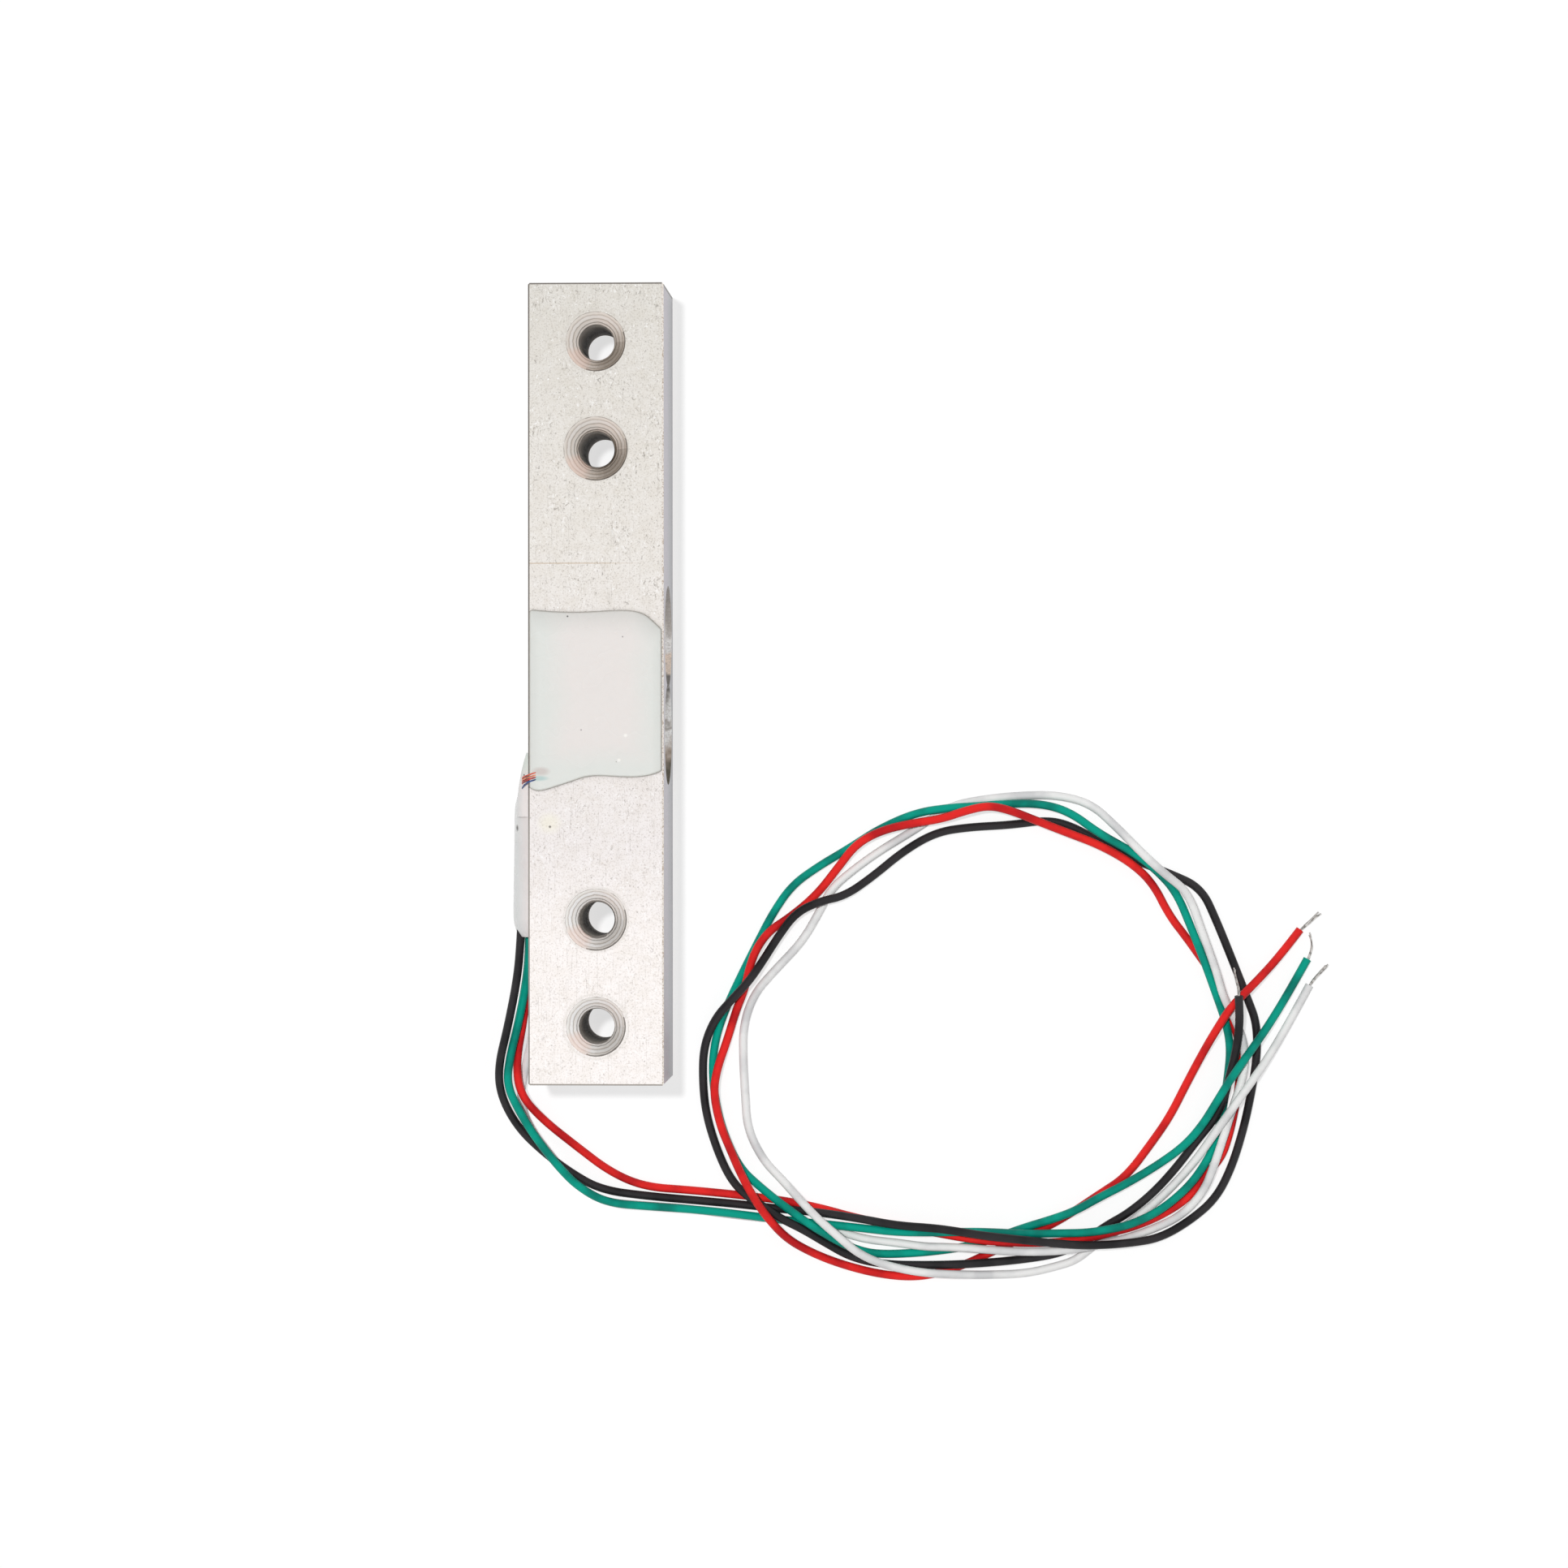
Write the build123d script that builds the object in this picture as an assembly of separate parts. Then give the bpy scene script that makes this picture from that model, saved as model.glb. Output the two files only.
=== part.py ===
from build123d import *
from math import radians, tan
import os

# A small single-point load cell: a milled aluminium beam with a hollow of two
# crossing bores, four foil strain gauges under silicone over its thin webs,
# and four free leads that leave a silicone bead on its side.
# The origin is the middle of the fixed end's two holes, on the mounting face.
# +Y runs along the beam to the load end, +X is the side away from the bead.

# Beam
BEAM_LENGTH = 75.0
BEAM_WIDTH = 12.7
BEAM_HEIGHT = 12.7
EDGE_BREAK = 0.15
HOLE_PITCH = 10.0
HOLE_MARGIN = 5.5
TAP_BORE = 3.4
SINK_ANGLE = 90.0
TOP_SINKS = [5.6, 5.8, 6.0, 5.6]
BOTTOM_SINK = 5.0
HOLLOW_BORE = 9.6
HOLLOW_PITCH = 9.2

# Strain gauges: carrier film and etched foil
FILM_LENGTH = 3.8
FILM_WIDTH = 3.6
FILM_THICKNESS = 0.08
FOIL_THICKNESS = 0.05
STRIP_COUNT = 8
STRIP_WIDTH = 0.13
STRIP_PITCH = 0.26
GRID_LENGTH = 2.2
TAB_LENGTH = 1.05
TAB_WIDTH = 0.9
TAB_GAP = 0.34
GRID_SHIFT = 0.55

# Enamelled wires from the gauges
WIRE_DIAMETER = 0.16
WIRE_CLEARANCE = 0.02
LANE_PITCH = 0.35
LANE_SETBACK = 2.7
LANE_DROP = 1.0
ARCH = 0.32
RUN_END = 16.4
SEAT_PITCH = 0.35
BEHIND_SETBACK = 1.4
COLUMN_FAR = 1.4
COLUMN_NEAR = 0.9

# Silicone over the gauges, with a wiped edge that wanders across the beam
COAT_THICKNESS = 0.5
COAT_ROUNDING = 0.2
CORNER_ROUNDING = 0.3
LOAD_WANDER = [(-1.0, 0.5), (-0.66, 0.3), (0.02, 0.3), (0.45, 0.4), (0.74, 0.0), (0.9, -0.8), (1.0, -1.4)]
FIXED_WANDER = [(1.0, 1.6), (0.56, 2.2), (0.15, 2.1), (-0.16, 2.2), (-0.36, 2.6), (-0.66, 3.2), (-0.9, 3.45), (-1.0, 3.15)]

# Silicone bead on the side: distance from the origin along the beam, bulge,
# and how far its lower and upper edge stay from the beam's bottom and top
BEAD_BODY = [
    (3.2, 1.5, 2.4, 4.4),
    (5.0, 2.03, 1.7, 3.4),
    (9.0, 1.92, 1.0, 2.2),
    (12.0, 1.79, 0.6, 1.1),
    (15.0, 1.7, 0.4, 0.4),
    (16.4, 1.45, 0.6, 0.5),
    (17.2, 0.8, 1.5, 1.2),
]
BEAD_TOP_TAIL = [(14.6, 1.25, 2.9), (17.0, 1.08, 2.7), (19.0, 0.72, 2.45), (20.6, 0.22, 1.5)]
BEAD_BOTTOM_TAIL = [(14.6, 1.25, 2.8), (17.0, 1.0, 2.6), (19.0, 0.7, 2.2), (20.2, 0.3, 1.3)]
TAIL_MARGIN = 0.2

# Leads: insulation, solder joint in the bead and stripped end
LEAD_DIAMETER = 0.8
STRAND_DIAMETER = 0.36
JOINT_DIAMETER = 1.0
BEND_SHARE = 0.45
FLATS = 6
LOW = -0.08

# The leads' routes, from the soldered end in the bead to the end of the insulation
ROUTES = {
    "black": [
        (-7.2, 10.9, 7.7), (-7.4, 7, 7.6), (-7.6, 3, 7.2), (-8, -0.6, 6.1), (-9.1, -5.3, 4.1),
        (-10.3, -9.5, 2.25), (-10.1, -12.4, 1.3), (-8.5, -15.4, 0.85), (-6.1, -17.7, 0.8), (-3.6, -19.6, 0.7),
        (-0.6, -21.4, 0.1), (4, -22, LOW), (8.8, -22.4, LOW), (13.4, -22.8, LOW), (17.1, -23.2, 0.2),
        (20.4, -23.4, 0.8), (24.4, -24, 0.8), (27.9, -24.6, 1.25), (31.5, -24.8, 1.55), (33.9, -25.1, 1.9),
        (36.3, -25.5, 1.85), (40, -25.9, 1.65), (43.8, -26.3, 1.65), (46.8, -26.4, 1.7), (50.2, -26.2, 1.2),
        (53.1, -25.8, 0.1), (56, -24.1, LOW), (58.4, -22, LOW), (59.9, -19, LOW), (61, -15.4, LOW),
        (61.7, -12.2, LOW), (62.3, -8.6, LOW), (62.3, -5.3, LOW), (61.4, -2.9, LOW), (60.1, 0.4, LOW),
        (58.5, 4.4, LOW), (57, 7.7, LOW), (53.9, 9.1, LOW), (51.2, 10.1, LOW), (48.1, 11.6, LOW),
        (44.9, 13.5, LOW), (42.4, 14.2, LOW), (38.8, 13.7, LOW), (34.8, 13.5, LOW), (31.6, 13, LOW),
        (28.5, 11.2, LOW), (25.5, 8.7, LOW), (22.9, 6.9, 0.5), (20.5, 6.4, 0.9), (18.2, 5.3, 0.9),
        (16.5, 3, 0.85), (15, 0.6, 1), (13.7, -1.3, 1.55), (12, -3.1, 1.2), (10.4, -4.9, 0.6),
        (9.3, -7.6, LOW), (9.2, -10.7, LOW), (9.5, -14, LOW), (10.6, -17.6, LOW), (12, -20.5, 0.3),
        (13.8, -22.1, 0.9), (15.2, -22.9, 1.05), (16.7, -23.9, 1.65), (18.8, -24.9, 1.6), (21.1, -26.4, 0.5),
        (23.5, -27.8, 0.05), (26.7, -28.5, LOW), (31.1, -28.5, 0.15), (34.5, -28.3, 0.95), (38, -28.1, 0.35),
        (41.6, -27.7, LOW), (43.8, -27.2, LOW), (45.9, -26.1, LOW), (48, -24.6, LOW), (49.9, -23.5, 0.4),
        (52.3, -21.6, 0.1), (54.6, -19.1, LOW), (56.6, -16.4, 0.1), (58.2, -14.4, 0.7), (59.1, -12.5, 0.85),
        (59.6, -10.4, 0.9), (60.2, -8.1, 1.15), (60.5, -5.6, 1.85), (60.5, -4, 2.5), (60.4, -2.5, 2.7),
    ],
    "green": [
        (-7, 11.2, 6.3), (-7, 7.1, 6.2), (-6.9, 2.8, 6), (-7.2, -0.6, 5), (-8.1, -4.8, 3.6),
        (-9.1, -8.4, 2.55), (-9.5, -11.1, 1.9), (-8.4, -13.6, 1.7), (-6.8, -16.2, 1.65), (-4.5, -19.1, 1.7),
        (-2.6, -21.1, 1.1), (0.1, -22.6, 0.8), (4, -22.9, 0.75), (8.8, -23.2, 0.75), (13.4, -23.7, 0.75),
        (17.1, -24.2, 0.75), (20.6, -24.5, 0.75), (24.4, -24.9, 0.75), (27.9, -25.3, 0.7), (31.5, -25.3, 0.8),
        (33.9, -25.2, 1.05), (36.3, -25.2, 1), (40.1, -25.4, 0.85), (43.8, -25.3, 1.1), (46.1, -25.2, 1.5),
        (48.5, -24.8, 1.6), (50.5, -24.3, 1.45), (53.1, -23.1, 0.7), (55.5, -21.1, 0.6), (57, -19.2, 0.65),
        (58.3, -17, LOW), (59, -13.7, LOW), (59.5, -10.6, LOW), (59.8, -7.6, LOW), (59.3, -5.1, 0.45),
        (58.5, -2.8, 0.4), (57.2, 0.8, 0.9), (56, 3.9, 0.55), (54.6, 7.3, 0.5), (52.7, 9.4, 0.75),
        (50.5, 11.1, 0.85), (47.2, 12.9, 0.8), (44.4, 15, 0.7), (41.5, 15.8, 0.45), (37.8, 15.7, 0.5),
        (35.7, 15.5, 0.8), (33.2, 15.4, 0.9), (29.7, 14.9, 0.4), (26.1, 13.3, LOW), (23.2, 11.4, LOW),
        (20.3, 9.7, LOW), (17.8, 7.9, LOW), (16, 5.3, LOW), (14.5, 2.4, LOW), (12.8, -1, LOW),
        (11.4, -4, LOW), (10.4, -6.9, LOW), (10.1, -10.1, LOW), (10.6, -13.8, LOW), (11.6, -16.9, LOW),
        (12.9, -19.4, LOW), (14.6, -20.9, 0.4), (16.4, -22.3, 0.95), (18.7, -23.9, 1.65), (20.2, -24.9, 1.6),
        (22.1, -26.1, 0.8), (23.9, -27, 0.2), (25.9, -27.5, LOW), (29.2, -27.4, LOW), (32.2, -27.1, LOW),
        (34.6, -26.7, LOW), (37.1, -26, LOW), (39.7, -25, LOW), (42.7, -24, 0.8), (44.9, -23.2, 0.8),
        (47.2, -21.9, 0.8), (49.8, -20.6, 0.6), (52.7, -18.9, 0.3), (55.3, -17, 0.65), (57, -15, 1),
        (58.3, -12.8, 1.6), (59.6, -10.6, 1.8), (61.3, -8.2, 1.75), (63.1, -5.8, 0.8), (65.2, -2.5, 0.1),
        (67.1, 0.9, LOW),
    ],
    "red": [
        (-7, 11.9, 4.9), (-7, 7.6, 4.8), (-6.8, 3.1, 4.6), (-7.2, -1.3, 3.9), (-7.8, -5, 2.7),
        (-8.6, -8.9, 1.75), (-8.3, -12.1, 1.4), (-6.2, -14.6, 0.5), (-3, -17.2, LOW), (0.3, -19.7, LOW),
        (3.6, -21.1, LOW), (8, -21.4, LOW), (12.3, -21.8, LOW), (16.6, -22.3, LOW), (20.3, -23, LOW),
        (23.9, -24, LOW), (27.9, -24.8, LOW), (31.5, -25.4, LOW), (33.9, -25.8, 0.3), (36.3, -26.1, 0.8),
        (40.1, -26.3, 0.8), (43.4, -26.2, 0.8), (46.6, -25.7, 0.8), (48.5, -25.2, 0.8), (50.5, -24.7, 0.75),
        (53.1, -23.7, 0), (55.8, -22, LOW), (57.2, -19.9, LOW), (58.9, -18.2, LOW), (59.7, -15.8, LOW),
        (60.3, -13, LOW), (60.7, -10.2, LOW), (60.7, -7.5, LOW), (60, -5, LOW), (58.8, -1.7, LOW),
        (57.3, 0.5, LOW), (55.6, 2.9, LOW), (53.9, 5.1, LOW), (52.4, 8.1, 0.2), (50.3, 10.1, 0.8),
        (47.3, 11.8, 0.8), (44.1, 13, 0.8), (41.3, 14.1, 0.8), (38.8, 15.1, 1.2), (36.7, 15.6, 1.65),
        (34.5, 15.1, 1.7), (32.2, 14.3, 1), (29.5, 13.9, 0.8), (26.4, 13.2, 0.8), (24, 11.9, 0.9),
        (22.3, 9.7, 0.35), (20.2, 7, LOW), (17.7, 4.9, LOW), (15.7, 3.6, 0.55), (14.5, 2, 0.9),
        (13.8, 0.2, 0.8), (13.3, -2, 0.4), (12.4, -4.2, LOW), (11.6, -6.9, 0.1), (10.6, -9.8, 0.7),
        (10.3, -12, 0.8), (10.9, -15, 0.8), (11.9, -17.4, 0.8), (13, -19.8, 1.5), (14.3, -22.1, 1.9),
        (15.5, -23.8, 2.05), (17.3, -25.9, 1.2), (19.8, -27.4, 0.2), (22.6, -28.5, LOW), (26.1, -29.4, LOW),
        (29.5, -29.7, LOW), (32.2, -29.2, LOW), (34.5, -28.4, LOW), (36.8, -27.3, LOW), (39.5, -26.1, LOW),
        (42.3, -24.8, LOW), (44.7, -23.4, LOW), (47.2, -21.7, LOW), (49.8, -20, LOW), (52.2, -16.8, LOW),
        (54, -14.2, LOW), (55.6, -11, LOW), (57.3, -7.7, 0.6), (58.7, -5.2, 1.7), (59.8, -3.5, 1.9),
        (61.9, -1.5, 1.05), (64.4, 1.1, 0.2), (66.4, 3.7, LOW),
    ],
    "white": [
        (-7, 12.5, 3.5), (-7, 8.2, 3.4), (-6.9, 3.8, 3.3), (-7, -0.8, 2.6), (-6.8, -5.6, 1.5),
        (-8, -10.3, 0.7), (-8.4, -13, 0.05), (-7.4, -15.6, LOW), (-5.3, -18.3, LOW), (-3.2, -20.8, LOW),
        (-0.4, -22.6, LOW), (3.6, -22.9, LOW), (8, -23.2, LOW), (12.3, -23.8, LOW), (16.6, -24.2, LOW),
        (20.7, -24.6, LOW), (24.2, -26, LOW), (28, -26.4, LOW), (30.6, -26.7, 0.6), (33.3, -26.7, 0.8),
        (36.4, -26.9, 1), (40.1, -27.1, 1.2), (43.4, -27, 1.1), (46.5, -26.6, 0.85), (49.2, -26, 0.55),
        (52.4, -25, LOW), (55.2, -23.6, 0.05), (57.2, -21.3, 0.6), (58.1, -19, 0.8), (59, -16.3, 0.8),
        (59.9, -13.4, 0.8), (60.9, -10.5, 0.8), (61.2, -8.1, 0.8), (60.5, -5.4, 0.8), (59.1, -2.9, 1.1),
        (58.4, -0.3, 1.1), (57.1, 3.3, 0.95), (55.7, 7.3, 1.05), (53.5, 9, 1.55), (51.3, 11, 1.7),
        (48.8, 13.6, 0.6), (46.4, 15.8, LOW), (43.1, 16.6, LOW), (39.5, 16.5, LOW), (36.4, 16.2, LOW),
        (33.2, 15.6, LOW), (31.2, 14.3, LOW), (28.7, 12.7, LOW), (26.2, 11.2, LOW), (23.7, 9.4, LOW),
        (21.6, 7.6, LOW), (20.4, 5.3, LOW), (18.8, 2.5, LOW), (16.1, -0.3, LOW), (14.1, -2.6, LOW),
        (13.1, -5.6, LOW), (13.1, -8.8, LOW), (13.3, -12.3, LOW), (13.5, -15.5, LOW), (15, -18.5, LOW),
        (16.9, -20.4, 0.2), (18.8, -22.4, 1.4), (20.5, -24.1, 1.75), (22.4, -25.7, 1.85), (24.2, -27.3, 1.45),
        (26.6, -28.4, 0.9), (29.8, -29.1, 0.9), (32.9, -29.3, 0.9), (36.4, -29.4, 0.2), (40.2, -29.3, LOW),
        (43.1, -28.6, LOW), (45, -28, LOW), (46.7, -26.6, LOW), (48.7, -25.4, LOW), (50.5, -24.1, LOW),
        (52.7, -22.4, LOW), (54.8, -20.3, LOW), (56.7, -18, 0.35), (58, -16, 1), (59.7, -13.5, 1.8),
        (61.3, -11.3, 1.45), (63.3, -8.6, 0.5), (65.5, -4.9, 0.1), (67.3, -1.6, LOW),
    ],
}

# The stripped ends, from the end of the insulation on
STRANDS = {
    "black": [(60.45, -1.85, 2.5), (60.2, -1.1, 2.15), (60.1, -0.5, 1.8), (60.05, 0.0, 1.6)],
    "green": [(67.35, 1.4, -0.05), (67.5, 2.0, 0.0), (67.45, 2.65, 0.1), (67.3, 3.45, 0.2)],
    "red": [(66.75, 4.0, -0.05), (67.3, 4.4, 0.0), (67.8, 4.95, 0.05), (68.3, 5.3, 0.1)],
    "white": [(67.55, -1.25, -0.05), (68.0, -0.7, 0.0), (68.55, -0.15, 0.05), (69.05, 0.4, 0.1)],
}
STRAND_BEND = 0.3
# The side face that the points left of the middle were laid out from
LAYOUT_FACE = 6.35

# Stations that the pieces share
FIXED_END = -(HOLE_MARGIN + HOLE_PITCH / 2)
LOAD_END = FIXED_END + BEAM_LENGTH
MIDDLE = (FIXED_END + LOAD_END) / 2
LOAD_PAIR = LOAD_END - HOLE_MARGIN - HOLE_PITCH / 2
HOLES = [-HOLE_PITCH / 2, HOLE_PITCH / 2, LOAD_PAIR - HOLE_PITCH / 2, LOAD_PAIR + HOLE_PITCH / 2]
HALF_WIDTH = BEAM_WIDTH / 2
GAUGES = {"fixed": MIDDLE - HOLLOW_PITCH / 2, "load": MIDDLE + HOLLOW_PITCH / 2}
COVER = HOLLOW_PITCH / 2 + FILM_LENGTH / 2
WIRE_LEVEL = FILM_THICKNESS + FOIL_THICKNESS + WIRE_DIAMETER / 2
LANE_ZERO = MIDDLE - COVER - LANE_SETBACK

os.makedirs("parts", exist_ok=True)


def save(name, shape):
    shape.label = name
    export_step(shape, f"parts/{name}.step")
    print(f"{name}: {shape.volume:.3f} mm3")


def on_face(side, depth):
    # height of a point at a depth above the top face, or below the bottom face
    return BEAM_HEIGHT + depth if side == "top" else -depth


def plate(side, sketch, low, thickness):
    # a flat piece lying on the top or the bottom face
    base = on_face(side, low) if side == "top" else on_face(side, low + thickness)
    return extrude(Pos(0, 0, base) * sketch, thickness)


def countersink(station, diameter, side):
    # a cone that is full size at the face and fades into the bore
    depth = (diameter - TAP_BORE) / 2 / tan(radians(SINK_ANGLE / 2))
    cone = Cone(TAP_BORE / 2, diameter / 2, depth)
    turned = cone if side == "top" else Rot(180, 0, 0) * cone
    return Pos(0, station, on_face(side, -depth / 2)) * turned


def beam():
    block = Pos(0, MIDDLE, BEAM_HEIGHT / 2) * Box(BEAM_WIDTH, BEAM_LENGTH, BEAM_HEIGHT)
    block = chamfer(block.edges(), EDGE_BREAK)
    for station, sink in zip(HOLES, TOP_SINKS):
        block -= Pos(0, station, BEAM_HEIGHT / 2) * Cylinder(TAP_BORE / 2, BEAM_HEIGHT * 2)
        block -= countersink(station, sink, "top")
        block -= countersink(station, BOTTOM_SINK, "bottom")
    for station in GAUGES.values():
        bore = Cylinder(HOLLOW_BORE / 2, BEAM_WIDTH * 2, rotation=(0, 90, 0))
        block -= Pos(0, station, BEAM_HEIGHT / 2) * bore
    return block


def film(side, station):
    sketch = Pos(0, station) * Rectangle(FILM_WIDTH, FILM_LENGTH)
    return plate(side, sketch, 0, FILM_THICKNESS)


def tab_centre(tab):
    # middle of the left (-1) or right (+1) solder tab, from the film's middle
    return (tab * (TAB_GAP + TAB_WIDTH) / 2, -GRID_SHIFT - TAB_LENGTH / 2)


def foil(side, station):
    # strips along the beam, joined end to end in turn, with a tab at each outer strip
    far = GRID_LENGTH - GRID_SHIFT
    middle = (far - GRID_SHIFT) / 2
    first = -(STRIP_COUNT - 1) / 2 * STRIP_PITCH
    sketch = Sketch()
    for number in range(STRIP_COUNT):
        x = first + number * STRIP_PITCH
        sketch += Pos(x, middle) * Rectangle(STRIP_WIDTH, GRID_LENGTH)
    for number in range(STRIP_COUNT - 1):
        x = first + (number + 0.5) * STRIP_PITCH
        y = far if number % 2 == 0 else -GRID_SHIFT
        inward = -STRIP_WIDTH / 2 if number % 2 == 0 else STRIP_WIDTH
        link = Rectangle(STRIP_PITCH + STRIP_WIDTH, STRIP_WIDTH)
        sketch += Pos(x, y + inward) * link
    for tab in (-1, 1):
        x, y = tab_centre(tab)
        sketch += Pos(x, y) * Rectangle(TAB_WIDTH, TAB_LENGTH)
    return plate(side, Pos(0, station) * sketch, FILM_THICKNESS, FOIL_THICKNESS)


def sweep_strand(points, radii, diameter):
    # straight runs joined by arcs; six flats stand for the round section, inside it
    path = FilletPolyline(*points, radius=radii)
    section = Plane(origin=path @ 0, z_dir=path % 0) * RegularPolygon(diameter / 2, FLATS)
    return sweep(section, path=path), path, section.area


def face_plan(gauge, tab, lane):
    # the wire's way across the face, from its tab to the lane that leads to the edge
    station = GAUGES[gauge]
    x, y = tab_centre(tab)
    start = (x, station + y)
    end_of_film = station - FILM_LENGTH / 2
    lane_y = LANE_ZERO + lane * LANE_PITCH
    side = -FILM_WIDTH / 2
    if gauge == "load":
        column = side - (COLUMN_FAR if tab < 0 else COLUMN_NEAR)
        drop = end_of_film - (0.1 if tab < 0 else 0.5)
        return [start, (x - 0.25, drop), (column, drop - 0.6), (column, lane_y + 1.3), (column - 1.0, lane_y)]
    turn = end_of_film - (0.15 if tab < 0 else 0.6)
    return [start, (x - 0.3, turn), (side - 0.2 + 0.5 * tab, lane_y + 0.7), (side - 1.8, lane_y)]


def side_plan(side, lane, joint, seat):
    # the wire's way down or up the side face, from its lane to the solder joint
    lane_y = LANE_ZERO + lane * LANE_PITCH
    away = -1 if side == "top" else 1
    out = -(HALF_WIDTH + WIRE_DIAMETER / 2 + WIRE_CLEARANCE)
    run_z = on_face(side, 0) + away * (LANE_DROP + lane * LANE_PITCH)
    x, y, z = joint
    arch = (out - ARCH, lane_y - ARCH, on_face(side, 0) + away * ARCH)
    points = [(out, lane_y, on_face(side, WIRE_LEVEL)), arch, (out, lane_y - ARCH * 1.5, run_z)]
    if seat == "behind":
        # under the leads and up behind them, against the beam
        turn = y - BEHIND_SETBACK
        points.append((out, turn + 0.5, run_z + 0.1))
        points.append((out, turn, run_z + 0.9))
        points.append((out, turn, z - 1.0))
        points.append((out, y - 0.3, z - 0.15))
        points.append((x + 0.25, y + 0.05, z - 0.12))
        return points
    points.append((out, RUN_END, run_z + away * 0.02))
    points.append((out, y + 1.2 + 1.5 * SEAT_PITCH * seat, z - away * 0.5))
    points.append((x + 0.2 - SEAT_PITCH * seat, y + 0.15, z - away * 0.15))
    return points


def gauge_wire(side, gauge, tab, lane, joint, seat):
    level = on_face(side, WIRE_LEVEL)
    points = [(x, y, level) for x, y in face_plan(gauge, tab, lane)]
    points += side_plan(side, lane, joint, seat)
    # fine wire is bent sharply, with no arc at its corners
    path = Polyline(*points)
    section = Plane(origin=path @ 0, z_dir=path % 0) * RegularPolygon(WIRE_DIAMETER / 2, FLATS)
    return sweep(section, path=path, transition=Transition.RIGHT)


def coat_sketch():
    flat = HALF_WIDTH - EDGE_BREAK
    load = [(share * flat, MIDDLE + COVER + wander) for share, wander in LOAD_WANDER]
    fixed = [(share * flat, MIDDLE - COVER - wander) for share, wander in FIXED_WANDER]
    outline = Spline(*load) + Line(load[-1], fixed[0]) + Spline(*fixed) + Line(fixed[-1], load[0])
    return make_face(outline)


def coating(side, covered):
    coat = plate(side, coat_sketch(), 0, COAT_THICKNESS)
    coat = fillet(coat.edges().filter_by(Axis.Z), CORNER_ROUNDING)
    outer = coat.faces().sort_by(Axis.Z)[-1 if side == "top" else 0]
    coat = fillet(outer.edges(), COAT_ROUNDING)
    for piece in covered:
        coat -= piece
    return coat


def bead_section(station, bulge, low, high):
    middle = (low + high) / 2
    shoulder = (high - low) * 0.17
    face = -HALF_WIDTH
    curve = Spline(
        (face, station, low),
        (face - bulge * 0.8, station, low + shoulder),
        (face - bulge, station, middle),
        (face - bulge * 0.8, station, high - shoulder),
        (face, station, high),
    )
    return make_face(curve + Line((face, station, high), (face, station, low)))


def bead(covered):
    top = BEAM_HEIGHT - TAIL_MARGIN
    body = loft([bead_section(y, out, low, BEAM_HEIGHT - high) for y, out, low, high in BEAD_BODY])
    body += loft([bead_section(y, out, top - tall, top) for y, out, tall in BEAD_TOP_TAIL])
    body += loft([bead_section(y, out, TAIL_MARGIN, TAIL_MARGIN + tall) for y, out, tall in BEAD_BOTTOM_TAIL])
    for piece in covered:
        body -= piece
    return body


def bend_radii(points):
    # each bend is as large as its two straight runs allow
    vectors = [Vector(point) for point in points]
    radii = []
    for before, corner, after in zip(vectors, vectors[1:], vectors[2:]):
        turn = (corner - before).get_angle(after - corner)
        shorter = min((corner - before).length, (after - corner).length)
        radii.append(BEND_SHARE * shorter / tan(radians(turn / 2)))
    return radii


def placed(points):
    # what lies on the bead's side of the beam is carried along with its side face
    shift = LAYOUT_FACE - HALF_WIDTH
    return [(x + shift if x < 0 else x, y, z) for x, y, z in points]


def lead(colour):
    points = placed(ROUTES[colour])
    radii = bend_radii(points)
    tube, path, area = sweep_strand(points, radii, LEAD_DIAMETER)
    print(f"lead {colour}: {path.length:.1f} mm, volume over section x length {tube.volume / area / path.length:.4f}")
    print("  radii", [round(radius, 1) for radius in radii])
    return tube


def strand(colour):
    points = [ROUTES[colour][-1]] + STRANDS[colour]
    return sweep_strand(points, [STRAND_BEND] * (len(points) - 2), STRAND_DIAMETER)[0]


def joint_centre(colour):
    # the solder sits on the end of the conductor, just past the insulation
    start, second = [Vector(point) for point in placed(ROUTES[colour][:2])]
    along = (start - second).normalized()
    return start + along * JOINT_DIAMETER * 0.45


def stub(colour):
    # the stretch of a lead that lies in the bead
    points = placed(ROUTES[colour][:5])
    return sweep_strand(points, bend_radii(points), LEAD_DIAMETER)[0]


# side, gauge, tab, lane, lead, seat in the solder joint
WIRES = [
    ("top", "load", -1, 3, "red", 0),
    ("top", "load", 1, 2, "green", 1),
    ("top", "fixed", -1, 1, "green", 0),
    ("top", "fixed", 1, 0, "black", 0),
    ("bottom", "load", -1, 3, "red", 0),
    ("bottom", "load", 1, 2, "white", 1),
    ("bottom", "fixed", -1, 1, "white", 0),
    ("bottom", "fixed", 1, 0, "black", "behind"),
]

save("beam", beam())

gauge_pieces = {"top": [], "bottom": []}
for side in ("top", "bottom"):
    for gauge, station in GAUGES.items():
        carrier = film(side, station)
        grid = foil(side, station)
        gauge_pieces[side] += [carrier, grid]
        save(f"gauge_film_{side}_{gauge}", carrier)
        save(f"gauge_foil_{side}_{gauge}", grid)

for colour in ROUTES:
    save(f"lead_{colour}", lead(colour))
    save(f"strand_{colour}", strand(colour))

wires = {"top": [], "bottom": []}
for side, gauge, tab, lane, colour, seat in WIRES:
    centre = joint_centre(colour)
    wire = gauge_wire(side, gauge, tab, lane, (centre.X, centre.Y, centre.Z), seat)
    wires[side].append(wire)
    hand = "left" if tab < 0 else "right"
    save(f"wire_{side}_{gauge}_{hand}", wire)

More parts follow.
